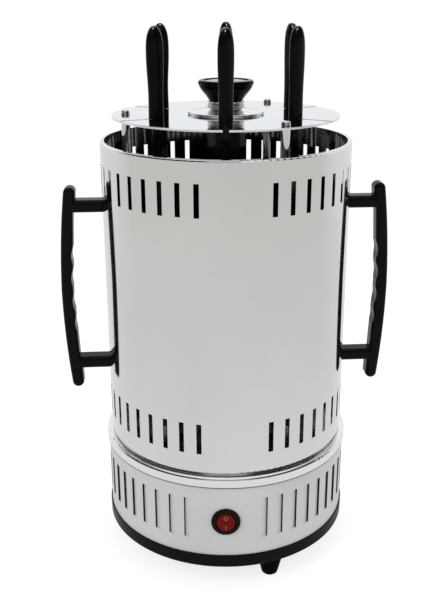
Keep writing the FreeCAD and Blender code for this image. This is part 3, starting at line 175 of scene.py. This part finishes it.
def turned(name, tint, rough, pitch=0.25, grain=0.05):
    """Lathe-turned or spun metal: fine rings round the part's own axis."""
    material, g, shader, place = new_material(name)
    axis = g.node("ShaderNodeSeparateXYZ", {0: place})
    rings = g.node("ShaderNodeCombineXYZ", {0: g.from_axis(place), 1: axis.outputs[2]}).outputs[0]
    lines = g.noise(g.scaled(rings, (1 / (pitch * MM),) * 3), 1.0, 2.0, 0.5)
    cloud = g.noise(place, 30.0, 4.0, 0.6)
    dark = tuple(c * 0.88 for c in tint)
    g.feed(shader.inputs["Base Color"], g.blend(g.ramp(cloud, 0.3, 0.7, 0, 1), dark, tint))
    g.feed(shader.inputs["Roughness"],
           g.math("ADD", g.math("MULTIPLY", g.ramp(cloud, 0.3, 0.7, 0.8, 1.3), rough),
                  g.math("MULTIPLY", lines, grain)))
    g.feed(shader.inputs["Normal"], g.bump(lines, grain, 0.03 * MM))
    shader.inputs["Metallic"].default_value = 1.0
    return material


def moulded(name, tint, rough, grain=0.15, size=0.5, sheen=0.5, shine=None):
    """Moulded plastic or rubber: fine grain, slow colour drift and a little scuffing.
    shine is the height at which a clear gloss starts and the height at which it is full."""
    material, g, shader, place = new_material(name)
    pores = g.noise(place, 1 / (size * MM), 2.0, 0.5)
    drift = g.noise(place, 26.0, 4.0, 0.6)
    scuff = g.ramp(g.noise(place, 140.0, 6.0, 0.7), 0.58, 0.75, 0.0, 0.5)
    light = tuple(min(c * 1.5 + 0.001, 1.0) for c in tint)
    g.feed(shader.inputs["Base Color"],
           g.blend(g.math("MULTIPLY", g.math("ADD", drift, scuff), 0.5), tint, light))
    g.feed(shader.inputs["Roughness"],
           g.math("ADD", g.ramp(drift, 0.3, 0.7, rough * 0.85, rough * 1.15),
                  g.math("MULTIPLY", scuff, 0.12)))
    g.feed(shader.inputs["Normal"], g.bump(pores, grain, 0.03 * MM))
    shader.inputs["Specular IOR Level"].default_value = sheen
    if shine:
        g.feed(shader.inputs["Coat Weight"], g.ramp(g.upward(place), *shine, 0.0, 1.0))
        shader.inputs["Coat Roughness"].default_value = 0.08
    return material


def painted(name, tint, rough, shaded_back=None, shadow_line=None):
    """Stoved paint on sheet steel, with its orange peel and faint dust. The colour for the faces
    turned inwards is a painted shade, dark where shade falls inside. Above the given height a
    painted shadow line darkens it, under the rim above."""
    material, g, shader, place = new_material(name)
    peel = g.noise(place, 900.0, 2.0, 0.5)
    cloud = g.noise(place, 18.0, 5.0, 0.6)
    specks = g.ramp(g.noise(place, 1500.0, 1.0, 0.5), 0.72, 0.8, 0.0, 0.5)
    worn = tuple(c * 0.9 for c in tint)
    clean = g.blend(g.ramp(cloud, 0.3, 0.7, 0, 1), worn, tint)
    colour = g.blend(specks, clean, tuple(c * 0.8 for c in tint))
    # painted shadow: a dark line along the top edge, for the shadow under the rim above
    if shadow_line:
        line_shade = g.ramp(g.upward(place), shadow_line, shadow_line + SEAM_FADE, 0.0, SEAM_SHADOW_SHARE)
        colour = g.blend(line_shade, colour, SEAM_SHADOW)
    # painted shade: the faces turned inwards and the slits' walls are darkened for the shade
    # inside
    if shaded_back:
        normal = g.node("ShaderNodeTexCoord").outputs["Normal"]
        level = g.ramp(g.math("ABSOLUTE", g.upward(normal)), 0.3, 0.5, 1.0, 0.0)
        back_shade = g.math("MULTIPLY", g.facing_in(place, SHADED_BACK_TURN), level)
        colour = g.blend(back_shade, colour, shaded_back)
    g.feed(shader.inputs["Base Color"], colour)
    g.feed(shader.inputs["Roughness"], g.ramp(cloud, 0.3, 0.7, rough * 0.9, rough * 1.15))
    g.feed(shader.inputs["Normal"], g.bump(peel, 0.08, 0.05 * MM))
    shader.inputs["Coat Weight"].default_value = 0.15
    shader.inputs["Coat Roughness"].default_value = 0.25
    return material


def ceramic(name, tint):
    """Fired, unglazed ceramic with stains."""
    material, g, shader, place = new_material(name)
    body = g.noise(place, 320.0, 5.0, 0.65)
    stain = g.noise(place, 45.0, 4.0, 0.6)
    dark = tuple(c * 0.82 for c in tint)
    g.feed(shader.inputs["Base Color"], g.blend(g.ramp(stain, 0.4, 0.75, 0, 1), tint, dark))
    g.feed(shader.inputs["Roughness"], g.ramp(body, 0.3, 0.7, 0.55, 0.75))
    g.feed(shader.inputs["Normal"], g.bump(body, 0.2, 0.06 * MM))
    return material


def quartz(name):
    """Clear quartz glass with a little haze."""
    material, g, shader, place = new_material(name)
    haze = g.noise(g.scaled(place, (60, 60, 8)), 1.0, 4.0, 0.6)
    g.feed(shader.inputs["Base Color"], g.blend(haze, (0.96, 0.98, 0.98), (0.88, 0.91, 0.9)))
    g.feed(shader.inputs["Roughness"], g.ramp(haze, 0.4, 0.7, 0.02, 0.12))
    shader.inputs["Transmission Weight"].default_value = 1.0
    shader.inputs["IOR"].default_value = QUARTZ_IOR
    return material


def tinted(name, tint):
    """Glossy, slightly see-through coloured moulding of the rocker."""
    material, g, shader, place = new_material(name)
    depth = g.noise(place, 240.0, 3.0, 0.5)
    dark = tuple(c * 0.75 for c in tint)
    g.feed(shader.inputs["Base Color"], g.blend(g.ramp(depth, 0.35, 0.65, 0, 1), dark, tint))
    g.feed(shader.inputs["Roughness"], g.ramp(depth, 0.3, 0.7, 0.22, 0.34))
    shader.inputs["Subsurface Weight"].default_value = 0.1
    shader.inputs["Subsurface Radius"].default_value = (0.002, 0.0005, 0.0004)
    shader.inputs["Subsurface Scale"].default_value = 0.5
    shader.inputs["Specular IOR Level"].default_value = 0.09
    return material


# ---------------------------------------------------------------- finishes of the CAD pieces
# height from which the skirt's top carries a painted shadow line under the deck's rim
SKIRT_SHADOW_LINE = 90.3 * MM
# heights of the painted shadow line along the deck's lowest edge
DECK_SHADOW_LINE = (0.0919, 0.0915)
# heights above which the blades turn black with painted shade, under the disc
BLADE_SHADE = (0.3, 0.335)
GRIP_SHINE = (0.4235, 0.4295)
FINISH = {
    # the casing's inner faces carry a painted shade
    "casing": polished("polished_casing", (0.75, 0.748, 0.735), 0.07,
                       clouds=(11, 11, 7), marks=0.03,
                       inner_shade=(0.22, 0.21, 0.195)),
    # the deck carries a painted shadow line along its lowest edge
    "deck": polished("polished_deck", (0.85, 0.84, 0.825), 0.12, marks=0.02, grain=0.02,
                     painted_shade=DECK_SHADOW_LINE),
    "disc": polished("polished_disc", (0.74, 0.745, 0.75), 0.05, streaks=(300, 300, 8)),
    "post": polished("post_steel", (0.7, 0.705, 0.71), 0.1, streaks=(700, 700, 20)),
    "nut": turned("nut_steel", (0.74, 0.74, 0.75), 0.1),
    "chrome": polished("knob_chrome", (0.8, 0.795, 0.78), 0.16, streaks=(90, 90, 300), grain=0.0),
    "bead": polished("neck_chrome", (0.74, 0.735, 0.73), 0.3, streaks=(90, 90, 300), grain=0.0),
    "screw": turned("zinc_screw", (0.62, 0.61, 0.58), 0.25),
    "plate": polished("plate_steel", (0.5, 0.5, 0.51), 0.3, marks=0.08, grain=0.1),
    "can": painted("motor_paint", (0.12, 0.125, 0.13), 0.4),
    "bronze": turned("bush_bronze", (0.56, 0.41, 0.22), 0.32),
    # the skirt carries painted shade inside and a painted shadow line under the deck's rim
    "skirt": painted("skirt_paint", (0.55, 0.56, 0.545), 0.42,
                     shaded_back=(0.006, 0.006, 0.006), shadow_line=SKIRT_SHADOW_LINE),
    "tray": moulded("tray_moulding", (0.0035, 0.0035, 0.003), 0.34, grain=0.12, sheen=0.05),
    "rubber": moulded("foot_rubber", (0.001, 0.0009, 0.001), 0.5, grain=0.3, size=0.35,
                      sheen=0.01),
    "ceramic": ceramic("heater_ceramic", (0.74, 0.71, 0.64)),
    "wire": turned("coil_wire", (0.34, 0.31, 0.29), 0.35),
    "quartz": quartz("quartz_glass"),
    "knob": moulded("knob_moulding", (0.001, 0.001, 0.0016), 0.14, grain=0.05, sheen=0.05),
    "lid": moulded("knob_lid", (0.02, 0.021, 0.023), 0.08, grain=0.02, sheen=0.5),
    "grip": moulded("grip_moulding", (0.0018, 0.0016, 0.003), 0.16, grain=0.03, sheen=0.06,
                    shine=GRIP_SHINE),
    "handle": moulded("handle_moulding", (0.002, 0.002, 0.003), 0.22, grain=0.08,
                      sheen=0.08),
    "switch": moulded("switch_moulding", (0.0035, 0.0045, 0.004), 0.25, grain=0.1, sheen=0.07),
    "gland": moulded("gland_moulding", (0.006, 0.006, 0.006), 0.45, grain=0.2, sheen=0.2),
    "nylon": moulded("gear_nylon", (0.78, 0.76, 0.7), 0.45, grain=0.1),
    "rocker": tinted("rocker_red", (0.135, 0.0045, 0.002)),
    "cup": polished("cup_steel", (0.66, 0.66, 0.66), 0.16, streaks=(300, 300, 300)),
    # the blades carry painted shade, black towards the disc
    "blade": polished("blade_steel", (0.3, 0.295, 0.285), 0.3, streaks=(900, 900, 12), marks=0.08,
                      painted_shade=BLADE_SHADE),
    "spindle": turned("spindle_steel", (0.55, 0.55, 0.56), 0.24),
}
WORN = {
    "base_skirt": "skirt", "base_deck": "deck", "bottom_tray": "tray", "feet": "rubber",
    "tie_screws": "screw", "spacer_sleeves": "screw", "gear_plate": "plate", "motor": "can",
    "motor_screws": "screw", "spindle_bushes": "bronze", "heater_base": "ceramic",
    "ceramic_core": "ceramic", "heater_cap": "ceramic", "heater_coil": "wire",
    "quartz_tube": "quartz", "posts": "post", "post_nuts": "nut", "lower_nuts": "screw",
    "top_disc": "disc", "knob_flange": "chrome", "knob_neck": "chrome",
    "knob_washer": "chrome", "knob": "knob", "knob_insert": "lid", "knob_stud": "screw",
    "switch_body": "switch", "cord_gland": "gland", "drive_gear": "nylon",
    "motor_shaft": "plate", "casing": "casing", "handle_left": "handle",
    "handle_right": "handle", "handle_screws": "screw", "rocker": "rocker",
}
SERIES = {"spindle": "spindle", "drip_cup": "cup", "skewer_blade": "blade",
          "skewer_handle": "grip"}
for name, item in NODES.items():
    finish = WORN.get(name) or SERIES[name.rsplit("_", 1)[0]]
    item.data.materials.clear()
    item.data.materials.append(FINISH[finish])


# ---------------------------------------------------------------- finer forms of CAD pieces
RECORD = frame["record"]
JOINTS = {joint["name"]: joint for joint in RECORD["behaviour"]["joints"]}
BODY_OF = {node: body for body, nodes in RECORD["behaviour"]["bodies"].items() for node in nodes}
SKEWERS = 6
TURNS = 96
STUD = 2.5
SHARP_ANGLE = 35


def put(name, data):
    """A new object in the scene, with this mesh, lamp or camera."""
    item = bpy.data.objects.new(name, data)
    bpy.context.scene.collection.objects.link(item)
    return item


def mesh_of(name, points, faces):
    mesh = bpy.data.meshes.new(name)
    mesh.from_pydata(points, [], faces)
    return mesh


def finer(node, points, faces, finish, cutters=()):
    """A piece that stands for a CAD node, in its place. Points are in millimetres."""
    name = node + "_fine"
    piece = put(name, mesh_of(name, [Vector(p) * MM for p in points], faces))
    for cutter in cutters:
        cut = piece.modifiers.new("cut", "BOOLEAN")
        cut.operation, cut.solver, cut.object = "DIFFERENCE", "EXACT", cutter
    if cutters:
        bpy.context.view_layer.update()
        seen = piece.evaluated_get(bpy.context.evaluated_depsgraph_get())
        piece.data = bpy.data.meshes.new_from_object(seen)
        piece.modifiers.clear()
    for cutter in cutters:
        bpy.data.objects.remove(cutter)
    piece.data.materials.clear()
    piece.data.materials.append(FINISH[finish])
    piece.data.shade_smooth()
    piece.data.set_sharp_from_angle(angle=math.radians(SHARP_ANGLE))
    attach(piece, BODY_OF[node])
    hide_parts(node)


def tube(rings, ends=True):
    """Points and faces of a skin over rings of equal count, closed by its ends or on itself."""
    count = len(rings[0])
    points = [p for ring in rings for p in ring]
    faces = []
    for k in range(len(rings) - (1 if ends else 0)):
        low, high = k * count, (k + 1) % len(rings) * count
        for i in range(count):
            j = (i + 1) % count
            faces.append((low + i, low + j, high + j, high + i))
    if ends:
        faces.append(tuple(range(count))[::-1])
        faces.append(tuple(range((len(rings) - 1) * count, len(points))))
    return points, faces


def spun(profile, ends=False):
    """A profile of (radius, height) corners turned round the upright axis."""
    angles = [2 * math.pi * i / TURNS for i in range(TURNS)]
    return tube([[(r * math.cos(a), r * math.sin(a), z) for a in angles] for r, z in profile],
                ends)


def flowing(corners, steps=5):
    """A smooth line through the corners (Catmull-Rom)."""
    line = []
    padded = [corners[0], *corners, corners[-1]]
    for a, b, c, d in zip(padded, padded[1:], padded[2:], padded[3:]):
        for k in range(steps):
            t = k / steps
            line.append(tuple(
                0.5 * (2 * q + (r - p) * t + (2 * p - 5 * q + 4 * r - s) * t * t
                       + (3 * q - p - 3 * r + s) * t ** 3)
                for p, q, r, s in zip(a, b, c, d)))
    return line + [corners[-1]]


def block(low, high, turn=0.0):
    """A box that cuts, between two corners, turned round the upright axis."""
    (x0, y0, z0), (x1, y1, z1) = low, high
    rings = [[(x0, y0, z), (x1, y0, z), (x1, y1, z), (x0, y1, z)] for z in (z0, z1)]
    points, faces = tube(rings)
    spin = Matrix.Rotation(turn, 3, "Z")
    return put("cutter", mesh_of("cutter", [spin @ Vector(p) * MM for p in points], faces))


def height_of(node):
    """Lowest and highest point of a CAD node at rest, in millimetres."""
    low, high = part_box(node)
    return low[2] / MM, high[2] / MM


DISC_RADIUS = 88.5
DISC_SHEET = 1.0
DISC_LIP = 1.5
DISC_EDGE = 0.4
SLOT_WIDTH = 4.5
SLOT_END = 60.0


def make_disc():
    """The top disc with the thin rim of the photograph: six open slots for the skewers."""
    top = height_of("top_disc")[1]
    under, lip = top - DISC_SHEET, top - DISC_LIP
    profile = [(STUD, under), (DISC_RADIUS - DISC_SHEET, under), (DISC_RADIUS - DISC_SHEET, lip),
               (DISC_RADIUS, lip), (DISC_RADIUS, top - DISC_EDGE), (DISC_RADIUS - DISC_EDGE, top),
               (STUD, top)]
    half = SLOT_WIDTH / 2
    slots = [block((-half, -DISC_RADIUS - 1, lip - 1), (half, -SLOT_END, top + 1),
                   math.radians(360 / SKEWERS * i)) for i in range(SKEWERS)]
    finer("top_disc", *spun(profile), "disc", slots)


LID_RADIUS = 17.5
LID_DEPTH = 2.0


def make_knob_stack():
    """Flange with a rolled rim, bead-shaped neck, and the bowl with its inset lid."""
    seat, crown = height_of("knob_flange")
    flange = flowing([(11.5, crown), (16, crown - 0.55), (21, crown - 1.25), (25, crown - 1.7),
                      (26.6, crown - 1.5), (28.2, crown - 0.9), (29.5, crown - 1.1),
                      (30, crown - 1.9), (29.6, seat + 0.3)])
    finer("knob_flange", *spun([(STUD, seat), (STUD, crown)] + flange + [(29.2, seat)]), "chrome")
    low, high = height_of("knob_neck")
    neck = flowing([(11.3, low), (12.6, low + 0.5), (13.9, low + 1.6), (14.5, low + 3.0),
                    (14.3, low + 4.4), (13.5, low + 5.5), (12.8, high)])
    finer("knob_neck", *spun([(STUD, high), (STUD, low)] + neck), "bead")
    foot, top = height_of("knob")
    bowl = flowing([(12.9, foot), (14.2, foot + 2.2), (16.3, foot + 5.0), (18.5, foot + 7.6),
                    (20.2, foot + 10.2), (21.1, top - 3.3)])
    rim = flowing([(21.5, top - 2.9), (21.6, top - 1.9), (21.2, top - 0.8), (20.2, top)])
    well = top - LID_DEPTH
    finer("knob", *spun([(STUD, foot)] + bowl + rim + [(LID_RADIUS, top), (LID_RADIUS, well),
                                                       (STUD, well)]), "knob")
    lid = [(LID_RADIUS - 0.1, well), (LID_RADIUS - 0.1, top - 0.9), (16.6, top - 0.55),
           (12, top - 0.3), (6, top - 0.15), (1, top - 0.1)]
    finer("knob_insert", *spun(lid, ends=True), "lid")


GRIP_DEPTH = 8.7 / 13.3
GRIP_SQUARE = 2.4
GRIP_CORNERS = 48
NOSE = 0.28
NOSE_RINGS = 14
BODY_RINGS = 16


def grip_share(t):
    """Half width and half depth of a grip, as shares of the greatest, at t from its tip."""
    nose = 1 - max(1 - t / NOSE, 0) ** 2.4
    fall = min(max((t - 0.33) / 0.42, 0), 1)
    waist = 1 - 0.168 * fall * fall * (3 - 2 * fall) + 0.033 * max((t - 0.8) / 0.2, 0) ** 1.5
    return nose ** 0.46 * waist, nose ** 0.24


def make_grip(index):
    """A skewer's grip: broad oval nose, belly and slightly flared foot on a flat oval bar."""
    node = f"skewer_handle_{index}"
    foot, tip = height_of(node)
    middle = Vector(JOINTS[f"spindle_spin_{index}"]["pos_m"]) / MM
    middle.z = 0
    reach = [(v.co / MM - middle).to_2d() for v in NODES[node].data.vertices]
    wide = max(reach, key=lambda v: v.length)
    across = wide.to_3d()
    deep = Vector((-across.y, across.x, 0)) * GRIP_DEPTH
    marks = [NOSE * (1 - math.cos(math.pi / 2 * (i + 0.5) / NOSE_RINGS))
             for i in range(NOSE_RINGS)]
    marks += [NOSE + (1 - NOSE) * i / BODY_RINGS for i in range(BODY_RINGS + 1)]
    rings = []
    for t in marks:
        w, d = grip_share(t)
        ring = []
        for i in range(GRIP_CORNERS):
            a = 2 * math.pi * i / GRIP_CORNERS
            u, v = math.cos(a), math.sin(a)
            u, v = (math.copysign(abs(c) ** (2 / GRIP_SQUARE), c) for c in (u, v))
            at = middle + across * (u * w) + deep * (v * d)
            ring.append((at.x, at.y, tip - (tip - foot) * t))
        rings.append(ring)
    finer(node, *tube(rings[::-1]), "grip")


make_disc()
make_knob_stack()
for index in range(1, SKEWERS + 1):
    make_grip(index)


# ---------------------------------------------------------------- marks on the rocker
ROCKER_AXIS = Vector(JOINTS["rocker_tilt"]["pos_m"])
ROCKER_TILT = math.radians(8.0)
FACE_RISE = 2.4
MARK_THICKNESS = 0.06
MARK_CORNERS = 48


def mark(name, rings, along):
    """A flat printed mark on one half of the rocker; rings are outer and inner outlines."""
    side = 1 if along > 0 else -1
    slope = Vector((0, math.cos(ROCKER_TILT), side * math.sin(ROCKER_TILT)))
    normal = Vector((0, -side * math.sin(ROCKER_TILT), math.cos(ROCKER_TILT)))
    centre = Vector((0, along, FACE_RISE + abs(along) * math.tan(ROCKER_TILT)))
    stand = Matrix.Translation(ROCKER_AXIS) @ Matrix.Rotation(
        math.radians(90) - ROCKER_TILT, 4, "X")
    outer, inner = rings
    count = len(outer)
    points, faces = [], []
    for ring in (outer, inner):
        for height in (-MARK_THICKNESS, MARK_THICKNESS):
            for u, v in ring:
                local = centre + Vector((u, 0, 0)) + slope * v + normal * height
                points.append(stand @ (local * MM))
    low_out, high_out, low_in, high_in = (count * i for i in range(4))
    for i in range(count):
        j = (i + 1) % count
        faces.append((high_out + i, high_out + j, high_in + j, high_in + i))
        faces.append((low_out + j, low_out + i, low_in + i, low_in + j))
        faces.append((low_out + i, low_out + j, high_out + j, high_out + i))
        faces.append((low_in + j, low_in + i, high_in + i, high_in + j))
    item = put(name, mesh_of(name, points, faces))
    item.data.materials.append(PRINT)
    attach(item, "rocker")


def oval(width, height):
    """An ellipse of these half widths, as a ring of points."""
    angles = [2 * math.pi * i / MARK_CORNERS for i in range(MARK_CORNERS)]
    return [(width * math.cos(a), height * math.sin(a)) for a in angles]


def bar(half_width, half_height):
    """A bar with round ends, as a ring of points to match oval()."""
    straight = half_height - half_width
    return [(u, v + (straight if v >= 0 else -straight))
            for u, v in oval(half_width, half_width)]


PRINT = moulded("rocker_print", (0.3, 0.11, 0.095), 0.4, grain=0.05, sheen=0.1)
mark("mark_o", (oval(1.65, 1.75), oval(1.15, 1.25)), 3.6)
mark("mark_i", (bar(0.32, 1.6), bar(0.02, 1.3)), -4.2)


# ---------------------------------------------------------------- floor, world and light
def any_ray(g, *names):
    """1 for the kinds of ray named."""
    path = g.node("ShaderNodeLightPath")
    total = path.outputs[names[0]]
    for name in names[1:]:
        total = g.math("MAXIMUM", total, path.outputs[name])
    return total


FLOOR_SIZE = 24.0


def make_floor():
    """A white sweep that keeps the shadow, and in reflections glows, less so farther in front."""
    bpy.ops.mesh.primitive_plane_add(size=FLOOR_SIZE, location=(0, 0, 0))
    floor = bpy.context.object
    floor.name = "floor"
    material = bpy.data.materials.new("floor_sweep")
    g = Graph(material)
    place = g.node("ShaderNodeTexCoord").outputs["Object"]
    axis = g.node("ShaderNodeSeparateXYZ", {0: place})
    reach = g.from_axis(place)
    fall = g.math("ADD", g.ramp(reach, 0.2, 0.7, 0.0, 0.6), g.ramp(reach, 0.7, 1.5, 0.0, 0.4))
    front = g.ramp(axis.outputs[1], 0.0, 0.7, 1.0, 0.0)
    seen = g.blend(g.math("MULTIPLY", fall, front), (0.84, 0.845, 0.845), (0.7, 0.7, 0.69))
    mirrored = g.node("ShaderNodeEmission", {"Color": seen, "Strength": 1.0})
    shown = g.ramp(any_ray(g, "Is Camera Ray"), 0.0, 1.0, 0.55, 0.8)
    glow = g.node("ShaderNodeEmission", {"Color": (1, 1, 1, 1), "Strength": shown})
    diffuse = g.node("ShaderNodeBsdfDiffuse", {"Color": (0.25, 0.25, 0.25, 1.0)})
    lit = g.node("ShaderNodeAddShader", {0: glow.outputs[0], 1: diffuse.outputs[0]})
    both = g.node("ShaderNodeMixShader", {
        0: any_ray(g, "Is Glossy Ray", "Is Transmission Ray"),
        1: lit.outputs[0], 2: mirrored.outputs[0]})
    g.node("ShaderNodeOutputMaterial", {"Surface": both.outputs[0]})
    floor.data.materials.append(material)


def make_world():
    """Plain white light. Reflections show a white room, dark in front above the floor, with
    a soft box overhead and a paler patch straight in front."""
    world = bpy.data.worlds.new("studio")
    bpy.context.scene.world = world
    g = Graph(world)
    away = g.node("ShaderNodeTexCoord").outputs["Generated"]
    x, y, z = g.node("ShaderNodeSeparateXYZ", {0: away}).outputs
    front = g.ramp(y, 0.15, 0.55, 1.0, 0.0)
    above = g.math("MULTIPLY", g.ramp(z, 0.02, 0.1, 0.0, 1.0), g.ramp(z, 0.72, 0.86, 1.0, 0.0))
    patch = g.math("MULTIPLY", g.ramp(g.math("ABSOLUTE", x), 0.25, 0.4, 1.0, 0.0), 0.35)
    dark = g.math("MULTIPLY", front, g.math("MULTIPLY", above, g.math("SUBTRACT", 1.0, patch)))
    mirror = g.blend(dark, (0.95, 0.97, 1.0), (0.03, 0.03, 0.035))
    plain = g.node("ShaderNodeBackground", {"Color": (1, 1, 1, 1), "Strength": 0.85})
    mirrored = g.node("ShaderNodeBackground", {"Color": mirror, "Strength": 1.0})
    white = g.node("ShaderNodeBackground", {"Color": (1, 1, 1, 1), "Strength": 1.0})
    glossy = any_ray(g, "Is Glossy Ray", "Is Transmission Ray")
    first = g.node("ShaderNodeMixShader", {0: glossy, 1: plain.outputs[0], 2: mirrored.outputs[0]})
    second = g.node("ShaderNodeMixShader", {
        0: any_ray(g, "Is Camera Ray"), 1: first.outputs[0], 2: white.outputs[0]})
    g.node("ShaderNodeOutputWorld", {"Surface": second.outputs[0]})


def soft_light(name, place, target, size, power, tint=(1, 1, 1)):
    """A soft box that lights the object and doesn't show in reflections."""
    data = bpy.data.lights.new(name, "AREA")
    data.shape = "RECTANGLE"
    data.size, data.size_y = size
    data.energy = power
    data.color = tint
    item = put(name, data)
    item.location = place
    aim = (Vector(target) - Vector(place)).to_track_quat("-Z", "Y")
    item.rotation_euler = aim.to_euler()
    item.visible_glossy = False
    return item


def glint(name, place, target, size, power, nodes):
    """A small lamp that only shows as a bright spot on the glossy tips of some pieces."""
    item = soft_light(name, place, target, (size, size), power)
    item.visible_glossy = True
    item.visible_diffuse = False
    shown = bpy.data.collections.new(name + "_shows_on")
    for node in nodes:
        shown.objects.link(bpy.data.objects[node + "_fine"])
    item.light_linking.receiver_collection = shown


make_floor()
make_world()
soft_light("key_box", (-0.9, -1.1, 1.5), (0, 0, 0.2), (0.9, 0.9), 10.0)
soft_light("fill_box", (1.3, -0.6, 0.9), (0, 0, 0.2), (0.8, 1.2), 4.0, (0.96, 0.98, 1.0))
soft_light("top_box", (0.1, 0.5, 1.7), (0, 0, 0.3), (1.2, 1.0), 6.0)
glint("glint_box", (0.0, -0.95, 1.7), (0, 0, 0.4), 0.35, 16.0,
      ["knob", "knob_insert"] + [f"skewer_handle_{i}" for i in range(1, SKEWERS + 1)])

# ---------------------------------------------------------------- camera and finish
LENS = 52.3
SENSOR_WIDTH = 36.0
SHIFT_X = -0.0073
CAMERA_PLACE = (0.0, -0.6865, 0.4529)
LOOKS_DOWN = 19.46
camera_data = bpy.data.cameras.new("camera")
camera_data.lens = LENS
camera_data.sensor_width = SENSOR_WIDTH
camera_data.shift_x = SHIFT_X
camera = put("camera", camera_data)
camera.location = CAMERA_PLACE
camera.rotation_euler = Euler((math.radians(90 - LOOKS_DOWN), 0.0, 0.0))
bpy.context.scene.camera = camera
bpy.context.scene.view_settings.view_transform = "Standard"
